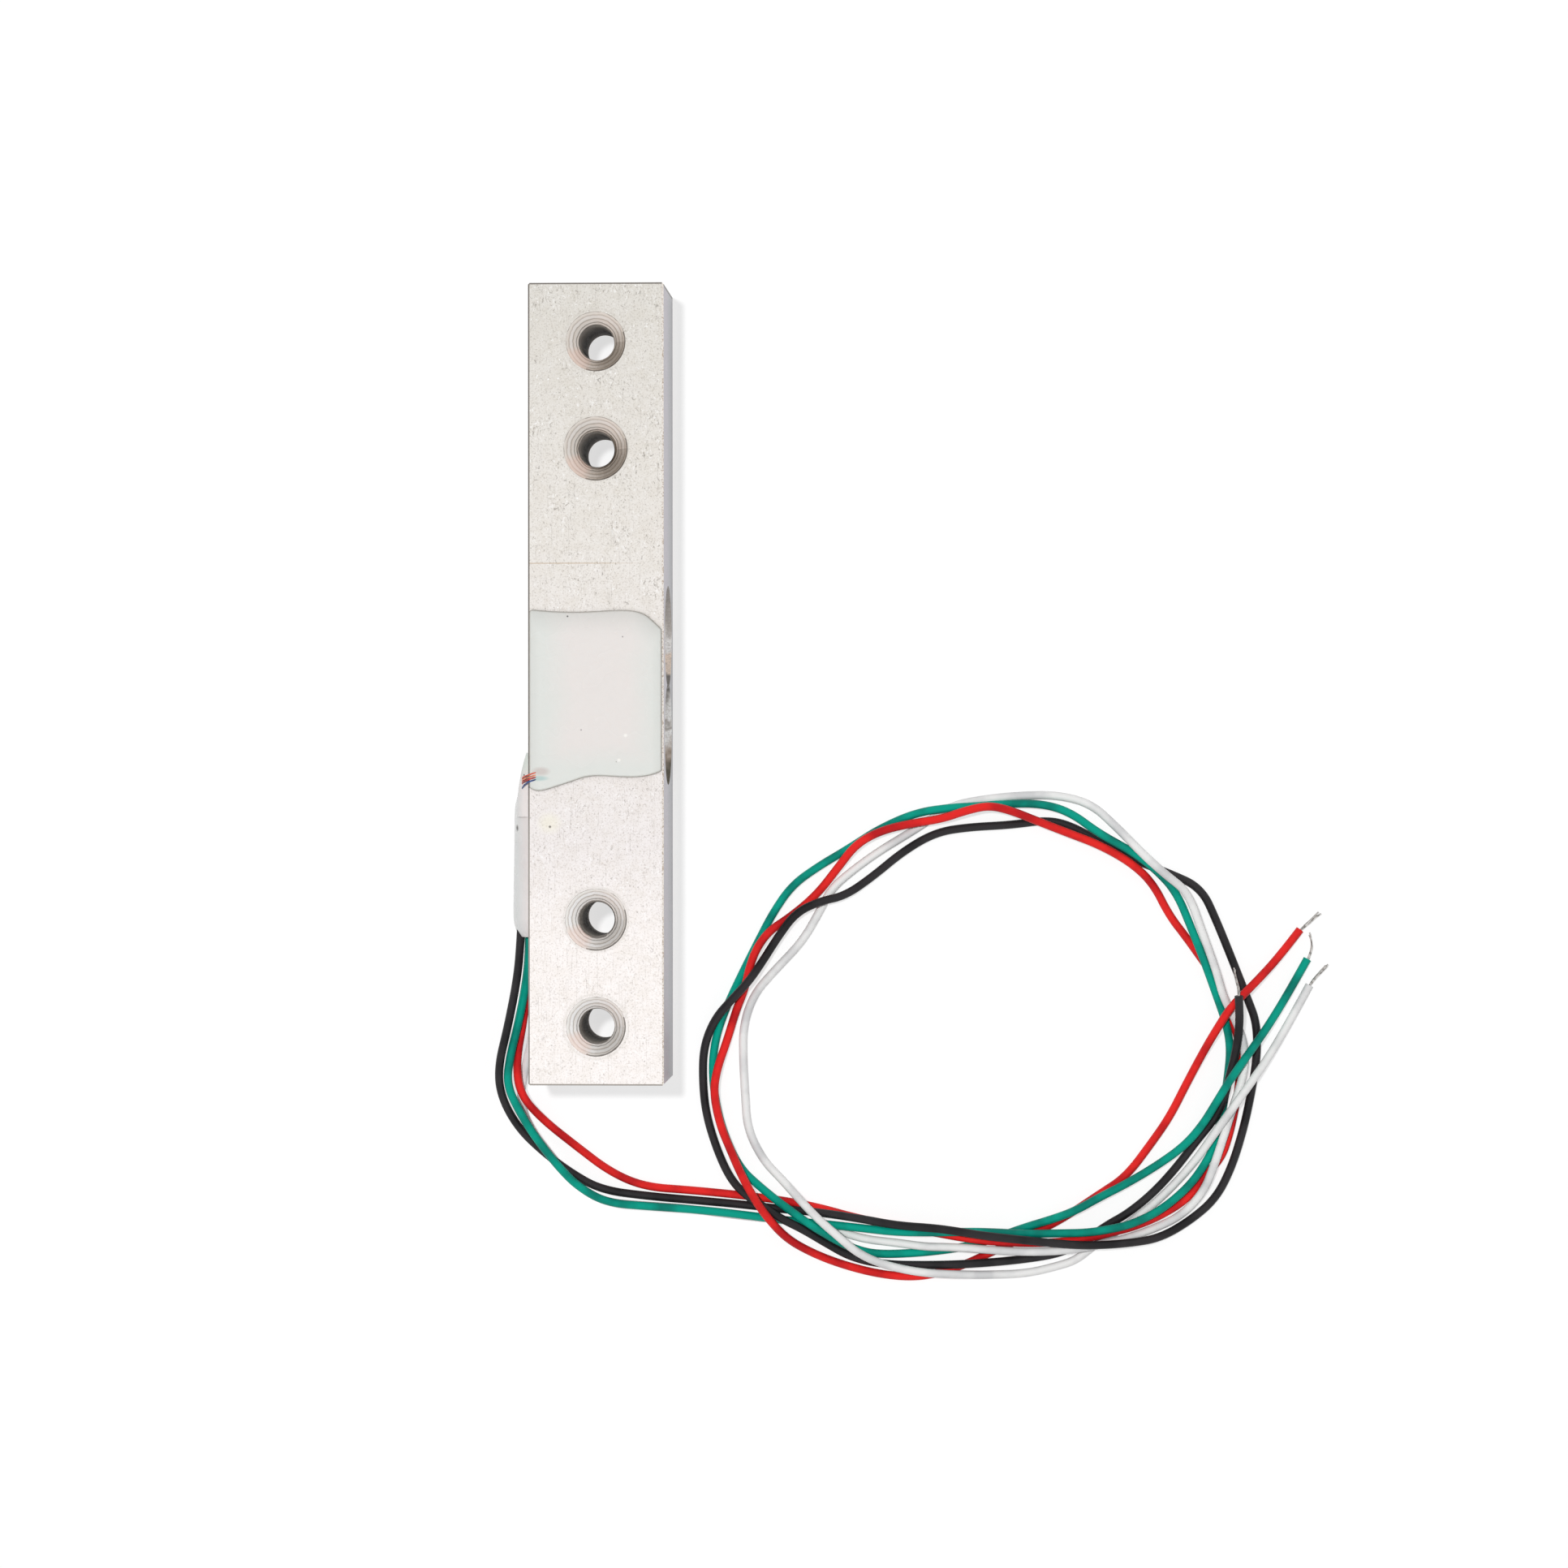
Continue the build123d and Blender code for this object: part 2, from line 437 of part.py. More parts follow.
drops = []
stubs = [stub(colour) for colour in ROUTES]
for colour, conductor in zip(ROUTES, stubs):
    drop = Pos(joint_centre(colour)) * Sphere(JOINT_DIAMETER / 2)
    drops.append(drop)
    solder = drop - conductor
    for wire in wires["top"] + wires["bottom"]:
        solder -= wire
    save(f"solder_{colour}", solder)

for side in ("top", "bottom"):
    save(f"coating_{side}", coating(side, gauge_pieces[side] + wires[side]))

save("side_bead", bead(stubs + drops + wires["top"] + wires["bottom"]))
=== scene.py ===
from math import cos, pi, radians, sin

import bmesh
import bpy
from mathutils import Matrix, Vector


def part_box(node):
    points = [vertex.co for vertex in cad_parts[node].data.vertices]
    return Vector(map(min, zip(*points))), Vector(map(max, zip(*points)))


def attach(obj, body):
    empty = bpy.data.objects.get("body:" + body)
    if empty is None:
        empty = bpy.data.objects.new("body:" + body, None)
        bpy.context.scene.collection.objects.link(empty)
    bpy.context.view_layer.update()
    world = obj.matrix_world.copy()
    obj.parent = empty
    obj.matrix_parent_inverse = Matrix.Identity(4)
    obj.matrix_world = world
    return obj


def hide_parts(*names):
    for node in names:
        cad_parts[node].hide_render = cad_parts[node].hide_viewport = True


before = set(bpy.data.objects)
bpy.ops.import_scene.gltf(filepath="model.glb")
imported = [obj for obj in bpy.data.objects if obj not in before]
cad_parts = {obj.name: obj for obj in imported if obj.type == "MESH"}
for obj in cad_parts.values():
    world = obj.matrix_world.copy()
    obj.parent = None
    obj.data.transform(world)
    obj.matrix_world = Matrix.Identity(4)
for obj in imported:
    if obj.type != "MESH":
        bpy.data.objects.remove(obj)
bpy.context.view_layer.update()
scene = bpy.context.scene
scene.view_settings.view_transform = "Standard"


# Camera: it hangs over the table a little to the right of the beam and looks
# almost straight down, so that a strip of the beam's right side shows.
MM = 0.001
FOCAL_LENGTH = 104.569
SENSOR_WIDTH = 36.0
CAMERA_PLACE = (35.739 * MM, 18.896 * MM, 436.892 * MM)
CAMERA_TURN = (radians(-0.1663), radians(2.4498), radians(-0.0223))
camera_data = bpy.data.cameras.new("camera")
camera_data.lens = FOCAL_LENGTH
camera_data.sensor_width = SENSOR_WIDTH
camera = bpy.data.objects.new("camera", camera_data)
camera.location = CAMERA_PLACE
camera.rotation_euler = CAMERA_TURN
scene.collection.objects.link(camera)
scene.camera = camera


# Table: a white sheet under the cell. The beam stands on the silicone of its
# lower side, so the sheet lies half a millimetre below the mounting face.
TABLE_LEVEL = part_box("coating_bottom")[0][2]
TABLE_SIZE = 1.2
SHADED_GREY = 0.36
OWN_GLOW = 0.67
PAPER_WHITE = 0.88


def linear(code):
    # an sRGB hex colour as linear light
    parts = [int(code[i:i + 2], 16) / 255 for i in (1, 3, 5)]
    return (*(p / 12.92 if p <= 0.04045 else ((p + 0.055) / 1.055) ** 2.4 for p in parts), 1.0)


def put(tree, kind, inputs=None, stops=(), **settings):
    # adds a node with its settings and, on a colour ramp, its stops. An input takes
    # a value, a hex colour, a socket, or another node, whose first output in use it gets
    node = tree.nodes.new("ShaderNode" + kind)
    for name, value in settings.items():
        setattr(node, name, value)
    for number, (position, colour) in enumerate(stops):
        elements = node.color_ramp.elements
        element = elements[number] if number < 2 else elements.new(position)
        element.position = position
        element.color = linear(colour)
    for name, value in (inputs or {}).items():
        if isinstance(value, bpy.types.Node):
            value = next(output for output in value.outputs if output.enabled)
        if isinstance(value, bpy.types.NodeSocket):
            tree.links.new(value, node.inputs[name])
        else:
            node.inputs[name].default_value = linear(value) if isinstance(value, str) else value
    return node


def blank_material(name):
    material = bpy.data.materials.new(name)
    material.use_nodes = True
    material.node_tree.nodes.clear()
    return material, material.node_tree


# matt white paper, bright enough that only the soft shadows show on it: part of
# the white that the camera sees is its own light, and the cell sees plain paper
sheet_paper, tree = blank_material("white_backdrop_paper")
rays = put(tree, "LightPath").outputs
seen = put(tree, "Math", {0: rays["Is Camera Ray"], 1: rays["Is Glossy Ray"]}, operation="MAXIMUM")
seen = put(tree, "Math", {0: seen, 1: rays["Is Transmission Ray"]}, operation="MAXIMUM")
lit = put(tree, "BsdfDiffuse", {"Color": (SHADED_GREY, SHADED_GREY, SHADED_GREY, 1)})
glow = put(tree, "Emission", {"Color": (1, 1, 1, 1), "Strength": OWN_GLOW})
shown = put(tree, "AddShader", {0: lit, 1: glow})
bounce = put(tree, "BsdfDiffuse", {"Color": (PAPER_WHITE, PAPER_WHITE, PAPER_WHITE, 1)})
mixed = put(tree, "MixShader", {0: seen, 1: bounce, 2: shown})
put(tree, "OutputMaterial", {"Surface": mixed})

half = TABLE_SIZE / 2
sheet_mesh = bpy.data.meshes.new("table")
corners = [(-half, -half), (half, -half), (half, half), (-half, half)]
sheet_mesh.from_pydata([(x, y, TABLE_LEVEL) for x, y in corners], [], [(0, 1, 2, 3)])
table = bpy.data.objects.new("table", sheet_mesh)
sheet_mesh.materials.append(sheet_paper)
scene.collection.objects.link(table)


# Light: a white tent all round, and one soft lamp three quarters of a metre up
# at the upper left, which gives the narrow shadows to the lower right.
SOFT_LIGHT = 0.35
MIRRORED_LIGHT = 1.14
LAMP_PLACE = (-53 * MM, 100 * MM, 750 * MM)
LAMP_SIZE = 42 * MM
world = bpy.data.worlds.new("light_tent")
world.use_nodes = True
scene.world = world
tree = world.node_tree
tree.nodes.clear()
rays = put(tree, "LightPath").outputs
way = put(tree, "TexCoord").outputs["Generated"]
# what metal mirrors is bright overhead, dimmer at table height and towards the upper left
rise = put(tree, "SeparateXYZ", {0: way}).outputs["Z"]
overhead = put(tree, "ValToRGB", {0: rise}, stops=[(0.0, "#f1f0f1"), (0.5, "#fafafa"), (0.85, "#ffffff")])
leftward = put(tree, "VectorMath", {0: way, 1: (-0.707, 0.707, 0.0)}, operation="DOT_PRODUCT")
leftward = put(tree, "ValToRGB", {0: leftward}, stops=[(0.3, "#ffffff"), (0.95, "#c6c3c2")])
tent = put(tree, "VectorMath", {0: overhead, 1: leftward}, operation="MULTIPLY")
soft = put(tree, "Background", {"Color": (1, 1, 1, 1), "Strength": SOFT_LIGHT})
mirrored = put(tree, "Background", {"Color": tent, "Strength": MIRRORED_LIGHT})
plain = put(tree, "Background", {"Color": (1, 1, 1, 1), "Strength": 1.0})
first = put(tree, "MixShader", {0: rays["Is Glossy Ray"], 1: soft, 2: mirrored})
clear = put(tree, "Math", {0: rays["Is Camera Ray"], 1: rays["Is Transmission Ray"]}, operation="MAXIMUM")
last = put(tree, "MixShader", {0: clear, 1: first, 2: plain})
put(tree, "OutputWorld", {"Surface": last})

# the lamp gives a level surface under it the light that the tent leaves out
lamp_data = bpy.data.lights.new("soft_lamp", "AREA")
lamp_data.shape = "DISK"
lamp_data.size = LAMP_SIZE
lamp_data.energy = (1.0 - SOFT_LIGHT) * pi * pi * Vector(LAMP_PLACE).length_squared
lamp = bpy.data.objects.new("soft_lamp", lamp_data)
lamp.location = LAMP_PLACE
lamp.rotation_euler = Vector(LAMP_PLACE).to_track_quat("Z", "Y").to_euler()
lamp.visible_glossy = False
scene.collection.objects.link(lamp)


# Leads: four thin hook-up wires with soft PVC insulation, black, green, red and
# white. They leave the lower end of the silicone bead, lie on the table and go
# round in one loose loop, over and under each other about sixty times.
LEAD_DIAMETER = 0.8
SPLINE_STEPS = 10
ROUND_STEPS = 4
# height of a lead's middle where it lies on the table
LOW = -0.08
ROUTES = {
    "black": [
        (-7.2, 10.9, 7.7), (-7.4, 7, 7.6), (-7.6, 3, 7.2), (-8, -0.6, 6.1), (-9.1, -5.3, 4.1),
        (-10.3, -9.5, 2.25), (-10.1, -12.4, 1.3), (-8.5, -15.4, 0.85), (-6.1, -17.7, 0.8), (-3.6, -19.6, 0.7),
        (-0.6, -21.4, 0.1), (4, -22, LOW), (8.8, -22.4, LOW), (13.4, -22.8, LOW), (17.1, -23.2, 0.2),
        (20.4, -23.4, 0.8), (24.4, -24, 0.8), (27.9, -24.6, 1.25), (31.5, -24.8, 1.55), (33.9, -25.1, 1.9),
        (36.3, -25.5, 1.85), (40, -25.9, 1.65), (43.8, -26.3, 1.65), (46.8, -26.4, 1.7), (50.2, -26.2, 1.2),
        (53.1, -25.8, 0.1), (56, -24.1, LOW), (58.4, -22, LOW), (59.9, -19, LOW), (61, -15.4, LOW),
        (61.7, -12.2, LOW), (62.3, -8.6, LOW), (62.3, -5.3, LOW), (61.4, -2.9, LOW), (60.1, 0.4, LOW),
        (58.5, 4.4, LOW), (57, 7.7, LOW), (53.9, 9.1, LOW), (51.2, 10.1, LOW), (48.1, 11.6, LOW),
        (44.9, 13.5, LOW), (42.4, 14.2, LOW), (38.8, 13.7, LOW), (34.8, 13.5, LOW), (31.6, 13, LOW),
        (28.5, 11.2, LOW), (25.5, 8.7, LOW), (22.9, 6.9, 0.5), (20.5, 6.4, 0.9), (18.2, 5.3, 0.9),
        (16.5, 3, 0.85), (15, 0.6, 1), (13.7, -1.3, 1.55), (12, -3.1, 1.2), (10.4, -4.9, 0.6),
        (9.3, -7.6, LOW), (9.2, -10.7, LOW), (9.5, -14, LOW), (10.6, -17.6, LOW), (12, -20.5, 0.3),
        (13.8, -22.1, 0.9), (15.2, -22.9, 1.05), (16.7, -23.9, 1.65), (18.8, -24.9, 1.6), (21.1, -26.4, 0.5),
        (23.5, -27.8, 0.05), (26.7, -28.5, LOW), (31.1, -28.5, 0.15), (34.5, -28.3, 0.95), (38, -28.1, 0.35),
        (41.6, -27.7, LOW), (43.8, -27.2, LOW), (45.9, -26.1, LOW), (48, -24.6, LOW), (49.9, -23.5, 0.4),
        (52.3, -21.6, 0.1), (54.6, -19.1, LOW), (56.6, -16.4, 0.1), (58.2, -14.4, 0.7), (59.1, -12.5, 0.85),
        (59.6, -10.4, 0.9), (60.2, -8.1, 1.15), (60.5, -5.6, 1.85), (60.5, -4, 2.5), (60.4, -2.5, 2.7),
    ],
    "green": [
        (-7, 11.2, 6.3), (-7, 7.1, 6.2), (-6.9, 2.8, 6), (-7.2, -0.6, 5), (-8.1, -4.8, 3.6),
        (-9.1, -8.4, 2.55), (-9.5, -11.1, 1.9), (-8.4, -13.6, 1.7), (-6.8, -16.2, 1.65), (-4.5, -19.1, 1.7),
        (-2.6, -21.1, 1.1), (0.1, -22.6, 0.8), (4, -22.9, 0.75), (8.8, -23.2, 0.75), (13.4, -23.7, 0.75),
        (17.1, -24.2, 0.75), (20.6, -24.5, 0.75), (24.4, -24.9, 0.75), (27.9, -25.3, 0.7), (31.5, -25.3, 0.8),
        (33.9, -25.2, 1.05), (36.3, -25.2, 1), (40.1, -25.4, 0.85), (43.8, -25.3, 1.1), (46.1, -25.2, 1.5),
        (48.5, -24.8, 1.6), (50.5, -24.3, 1.45), (53.1, -23.1, 0.7), (55.5, -21.1, 0.6), (57, -19.2, 0.65),
        (58.3, -17, LOW), (59, -13.7, LOW), (59.5, -10.6, LOW), (59.8, -7.6, LOW), (59.3, -5.1, 0.45),
        (58.5, -2.8, 0.4), (57.2, 0.8, 0.9), (56, 3.9, 0.55), (54.6, 7.3, 0.5), (52.7, 9.4, 0.75),
        (50.5, 11.1, 0.85), (47.2, 12.9, 0.8), (44.4, 15, 0.7), (41.5, 15.8, 0.45), (37.8, 15.7, 0.5),
        (35.7, 15.5, 0.8), (33.2, 15.4, 0.9), (29.7, 14.9, 0.4), (26.1, 13.3, LOW), (23.2, 11.4, LOW),
        (20.3, 9.7, LOW), (17.8, 7.9, LOW), (16, 5.3, LOW), (14.5, 2.4, LOW), (12.8, -1, LOW),
        (11.4, -4, LOW), (10.4, -6.9, LOW), (10.1, -10.1, LOW), (10.6, -13.8, LOW), (11.6, -16.9, LOW),
        (12.9, -19.4, LOW), (14.6, -20.9, 0.4), (16.4, -22.3, 0.95), (18.7, -23.9, 1.65), (20.2, -24.9, 1.6),
        (22.1, -26.1, 0.8), (23.9, -27, 0.2), (25.9, -27.5, LOW), (29.2, -27.4, LOW), (32.2, -27.1, LOW),
        (34.6, -26.7, LOW), (37.1, -26, LOW), (39.7, -25, LOW), (42.7, -24, 0.8), (44.9, -23.2, 0.8),
        (47.2, -21.9, 0.8), (49.8, -20.6, 0.6), (52.7, -18.9, 0.3), (55.3, -17, 0.65), (57, -15, 1),
        (58.3, -12.8, 1.6), (59.6, -10.6, 1.8), (61.3, -8.2, 1.75), (63.1, -5.8, 0.8), (65.2, -2.5, 0.1),
        (67.1, 0.9, LOW),
    ],
    "red": [
        (-7, 11.9, 4.9), (-7, 7.6, 4.8), (-6.8, 3.1, 4.6), (-7.2, -1.3, 3.9), (-7.8, -5, 2.7),
        (-8.6, -8.9, 1.75), (-8.3, -12.1, 1.4), (-6.2, -14.6, 0.5), (-3, -17.2, LOW), (0.3, -19.7, LOW),
        (3.6, -21.1, LOW), (8, -21.4, LOW), (12.3, -21.8, LOW), (16.6, -22.3, LOW), (20.3, -23, LOW),
        (23.9, -24, LOW), (27.9, -24.8, LOW), (31.5, -25.4, LOW), (33.9, -25.8, 0.3), (36.3, -26.1, 0.8),
        (40.1, -26.3, 0.8), (43.4, -26.2, 0.8), (46.6, -25.7, 0.8), (48.5, -25.2, 0.8), (50.5, -24.7, 0.75),
        (53.1, -23.7, 0), (55.8, -22, LOW), (57.2, -19.9, LOW), (58.9, -18.2, LOW), (59.7, -15.8, LOW),
        (60.3, -13, LOW), (60.7, -10.2, LOW), (60.7, -7.5, LOW), (60, -5, LOW), (58.8, -1.7, LOW),
        (57.3, 0.5, LOW), (55.6, 2.9, LOW), (53.9, 5.1, LOW), (52.4, 8.1, 0.2), (50.3, 10.1, 0.8),
        (47.3, 11.8, 0.8), (44.1, 13, 0.8), (41.3, 14.1, 0.8), (38.8, 15.1, 1.2), (36.7, 15.6, 1.65),
        (34.5, 15.1, 1.7), (32.2, 14.3, 1), (29.5, 13.9, 0.8), (26.4, 13.2, 0.8), (24, 11.9, 0.9),
        (22.3, 9.7, 0.35), (20.2, 7, LOW), (17.7, 4.9, LOW), (15.7, 3.6, 0.55), (14.5, 2, 0.9),
        (13.8, 0.2, 0.8), (13.3, -2, 0.4), (12.4, -4.2, LOW), (11.6, -6.9, 0.1), (10.6, -9.8, 0.7),
        (10.3, -12, 0.8), (10.9, -15, 0.8), (11.9, -17.4, 0.8), (13, -19.8, 1.5), (14.3, -22.1, 1.9),
        (15.5, -23.8, 2.05), (17.3, -25.9, 1.2), (19.8, -27.4, 0.2), (22.6, -28.5, LOW), (26.1, -29.4, LOW),
        (29.5, -29.7, LOW), (32.2, -29.2, LOW), (34.5, -28.4, LOW), (36.8, -27.3, LOW), (39.5, -26.1, LOW),
        (42.3, -24.8, LOW), (44.7, -23.4, LOW), (47.2, -21.7, LOW), (49.8, -20, LOW), (52.2, -16.8, LOW),
        (54, -14.2, LOW), (55.6, -11, LOW), (57.3, -7.7, 0.6), (58.7, -5.2, 1.7), (59.8, -3.5, 1.9),
        (61.9, -1.5, 1.05), (64.4, 1.1, 0.2), (66.4, 3.7, LOW),
    ],
    "white": [
        (-7, 12.5, 3.5), (-7, 8.2, 3.4), (-6.9, 3.8, 3.3), (-7, -0.8, 2.6), (-6.8, -5.6, 1.5),
        (-8, -10.3, 0.7), (-8.4, -13, 0.05), (-7.4, -15.6, LOW), (-5.3, -18.3, LOW), (-3.2, -20.8, LOW),
        (-0.4, -22.6, LOW), (3.6, -22.9, LOW), (8, -23.2, LOW), (12.3, -23.8, LOW), (16.6, -24.2, LOW),
        (20.7, -24.6, LOW), (24.2, -26, LOW), (28, -26.4, LOW), (30.6, -26.7, 0.6), (33.3, -26.7, 0.8),
        (36.4, -26.9, 1), (40.1, -27.1, 1.2), (43.4, -27, 1.1), (46.5, -26.6, 0.85), (49.2, -26, 0.55),
        (52.4, -25, LOW), (55.2, -23.6, 0.05), (57.2, -21.3, 0.6), (58.1, -19, 0.8), (59, -16.3, 0.8),
        (59.9, -13.4, 0.8), (60.9, -10.5, 0.8), (61.2, -8.1, 0.8), (60.5, -5.4, 0.8), (59.1, -2.9, 1.1),
        (58.4, -0.3, 1.1), (57.1, 3.3, 0.95), (55.7, 7.3, 1.05), (53.5, 9, 1.55), (51.3, 11, 1.7),
        (48.8, 13.6, 0.6), (46.4, 15.8, LOW), (43.1, 16.6, LOW), (39.5, 16.5, LOW), (36.4, 16.2, LOW),
        (33.2, 15.6, LOW), (31.2, 14.3, LOW), (28.7, 12.7, LOW), (26.2, 11.2, LOW), (23.7, 9.4, LOW),
        (21.6, 7.6, LOW), (20.4, 5.3, LOW), (18.8, 2.5, LOW), (16.1, -0.3, LOW), (14.1, -2.6, LOW),
        (13.1, -5.6, LOW), (13.1, -8.8, LOW), (13.3, -12.3, LOW), (13.5, -15.5, LOW), (15, -18.5, LOW),
        (16.9, -20.4, 0.2), (18.8, -22.4, 1.4), (20.5, -24.1, 1.75), (22.4, -25.7, 1.85), (24.2, -27.3, 1.45),
        (26.6, -28.4, 0.9), (29.8, -29.1, 0.9), (32.9, -29.3, 0.9), (36.4, -29.4, 0.2), (40.2, -29.3, LOW),
        (43.1, -28.6, LOW), (45, -28, LOW), (46.7, -26.6, LOW), (48.7, -25.4, LOW), (50.5, -24.1, LOW),
        (52.7, -22.4, LOW), (54.8, -20.3, LOW), (56.7, -18, 0.35), (58, -16, 1), (59.7, -13.5, 1.8),
        (61.3, -11.3, 1.45), (63.3, -8.6, 0.5), (65.5, -4.9, 0.1), (67.3, -1.6, LOW),
    ],
}
# body colour, colour in the hollows of the surface, roughness
INSULATION = {
    "black": ("#2b292b", "#1a191b", 0.42),
    "green": ("#019b86", "#017567", 0.45),
    "red": ("#e62a27", "#b91a1e", 0.45),
    "white": ("#ececeb", "#d2d2d3", 0.42),
}


def metres(points):
    return [(x * MM, y * MM, z * MM) for x, y, z in points]


def smooth_line(curve, points):
    # a quadratic spline with the route's points as its control points
    line = curve.splines.new("NURBS")
    line.points.add(len(points) - 1)
    for spot, point in zip(line.points, points):
        spot.co = (*point, 1.0)
    line.order_u = 3
    line.use_endpoint_u = True
    return line


def round_wire(name, diameter, runs, material):
    # one curve object, with a spline for each run of points in millimetres
    curve = bpy.data.curves.new(name, "CURVE")
    curve.dimensions = "3D"
    curve.resolution_u = SPLINE_STEPS
    curve.bevel_depth = diameter / 2 * MM
    curve.bevel_resolution = ROUND_STEPS
    curve.use_fill_caps = True
    for run in runs:
        smooth_line(curve, metres(run))
    curve.materials.append(material)
    piece = bpy.data.objects.new(name, curve)
    scene.collection.objects.link(piece)
    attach(piece, "root")
    return piece


def insulation(colour):
    # soft extruded PVC: even colour and a broad satin highlight along the lead. Its
    # clouds are 4 mm long; its skin is drawn at a quarter of a millimetre, coarser
    # than the real one
    body, hollow, rough = INSULATION[colour]
    material, tree = blank_material("extruded_pvc_" + colour)
    place = put(tree, "TexCoord").outputs["Object"]
    cloudy = put(tree, "TexNoise", {"Vector": place, "Scale": 0.26 / MM, "Detail": 3.0})
    tone = put(tree, "ValToRGB", {0: cloudy}, stops=[(0.36, hollow), (0.56, body)])
    skin = put(tree, "TexNoise", {"Vector": place, "Scale": 4.2 / MM, "Detail": 2.0})
    gloss = put(tree, "MapRange", {"Value": cloudy, "To Min": rough - 0.08, "To Max": rough + 0.1})
    relief = put(tree, "Bump", {"Height": skin, "Strength": 0.12, "Distance": 0.02 * MM})
    pvc = put(tree, "BsdfPrincipled", {
        "Base Color": tone, "Roughness": gloss, "Normal": relief, "Specular IOR Level": 0.2})
    put(tree, "OutputMaterial", {"Surface": pvc})
    return material


for colour, route in ROUTES.items():
    piece = round_wire("insulated_lead_" + colour, LEAD_DIAMETER, [route], insulation(colour))
    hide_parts("lead_" + colour)


# Stripped ends: each lead ends in a few very fine tinned copper strands, bared
# for about four millimetres and twisted by hand. The red one's have come apart.
STRAND_DIAMETER = 0.15
STRANDS = {
    "black": [
        [(60.45, -2.9, 2.72), (60.5, -1.95, 2.58), (60.28, -1.2, 2.25), (60.14, -0.6, 1.88),
         (60.0, 0.1, 1.6)],
        [(60.35, -2.9, 2.66), (60.38, -1.9, 2.5), (60.16, -1.1, 2.15), (60.1, -0.5, 1.8), (60.1, -0.05, 1.7)],
        [(60.5, -2.9, 2.6), (60.42, -1.85, 2.42), (60.24, -1.15, 2.1), (60.02, -0.5, 1.75),
         (60.06, -0.2, 1.66)],
    ],
    "green": [
        [(67.0, 0.6, -0.05), (67.3, 1.35, -0.02), (67.5, 2.0, 0.03), (67.48, 2.65, 0.12), (67.3, 3.45, 0.22)],
        [(67.15, 0.6, -0.1), (67.42, 1.4, -0.1), (67.58, 2.0, -0.04), (67.44, 2.65, 0.06),
         (67.34, 3.3, 0.16)],
        [(67.05, 0.6, -0.14), (67.36, 1.4, -0.12), (67.46, 2.0, -0.1), (67.52, 2.6, 0.0), (67.26, 3.2, 0.1)],
    ],
    "red": [
        [(66.2, 3.5, -0.05), (66.75, 3.95, -0.02), (67.2, 4.4, 0.05), (67.62, 4.9, 0.15), (68.15, 5.4, 0.2)],
        [(66.3, 3.45, -0.1), (66.85, 3.95, -0.1), (67.35, 4.35, -0.05), (67.9, 4.9, 0.0), (68.4, 5.25, 0.05)],
        [(66.2, 3.45, -0.14), (66.7, 4.0, -0.14), (67.25, 4.5, -0.1), (67.8, 4.95, -0.05), (68.05, 5.1, 0.0)],
    ],
    "white": [
        [(67.1, -1.85, -0.05), (67.5, -1.3, -0.02), (68.0, -0.7, 0.03), (68.5, -0.15, 0.1),
         (69.05, 0.4, 0.15)],
        [(67.2, -1.9, -0.1), (67.6, -1.3, -0.1), (68.05, -0.78, -0.05), (68.6, -0.2, 0.02),
         (69.0, 0.24, 0.08)],
        [(67.15, -1.9, -0.15), (67.5, -1.22, -0.14), (68.02, -0.62, -0.1), (68.5, -0.06, -0.04),
         (68.85, 0.3, 0.04)],
    ],
}

# copper wire with a drawn coat of tin: a silvery glint on each strand with grey
# stretches between, drawn at a third of a millimetre so that they show
tinned, tree = blank_material("tinned_copper_strand")
place = put(tree, "TexCoord").outputs["Object"]
drawn = put(tree, "TexNoise", {"Vector": place, "Scale": 3.0 / MM, "Detail": 3.0})
tone = put(tree, "ValToRGB", {0: drawn}, stops=[(0.3, "#77736f"), (0.62, "#cfccc8")])
relief = put(tree, "Bump", {"Height": drawn, "Strength": 0.2, "Distance": 0.02 * MM})
gloss = put(tree, "MapRange", {"Value": drawn, "To Min": 0.22, "To Max": 0.45})
tin = put(tree, "BsdfPrincipled", {"Base Color": tone, "Metallic": 1.0, "Roughness": gloss, "Normal": relief})
put(tree, "OutputMaterial", {"Surface": tin})

for colour, bundle in STRANDS.items():
    piece = round_wire("stripped_strands_" + colour, STRAND_DIAMETER, bundle, tinned)
    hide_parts("strand_" + colour)


# Beam: a length of drawn square aluminium bar, sawn, milled and drilled, left
# bare. Its faces carry fine pits and rubbed streaks, the countersinks the rings
# of the tool, the two big bores of the hollow bands of painted light and shade.
BEAM_ENDS = (-10.5, 64.5)
BEAM_MIDDLE = 27.0
BEAM_TOP = 12.7
HOLE_ROWS = (-5.0, 5.0, 49.0, 59.0)
HOLE_PITCH = 10.0
BORE_RADIUS = 1.7
SINK_DEPTH = 1.3
# just past the rim of the widest countersink, from the axis of its hole
SINK_REACH = 3.05
HOLLOW_PITCH = 9.2
HOLLOW_BORE = 9.6
# how far the bevel of the far end reaches in, and where the scribed line lies
CORNER_BREAK = 0.38
SCRIBED_AT = 38.3
# how square to an axis a normal stands on a flat face, and how level on a sloping one
SQUARE = 0.9
SLOPING = 0.3
BLACK, WHITE = "#000000", "#ffffff"


def position_in_mm(tree):
    # the place in the part's own frame in millimetres, whole and by its three
    # directions; a pattern on it has as many cells to a millimetre as its scale says
    place = put(tree, "TexCoord").outputs["Object"]
    in_mm = put(tree, "VectorMath", {0: place, "Scale": 1 / MM}, operation="SCALE")
    axes = put(tree, "SeparateXYZ", {0: in_mm}).outputs
    return in_mm, axes["X"], axes["Y"], axes["Z"]


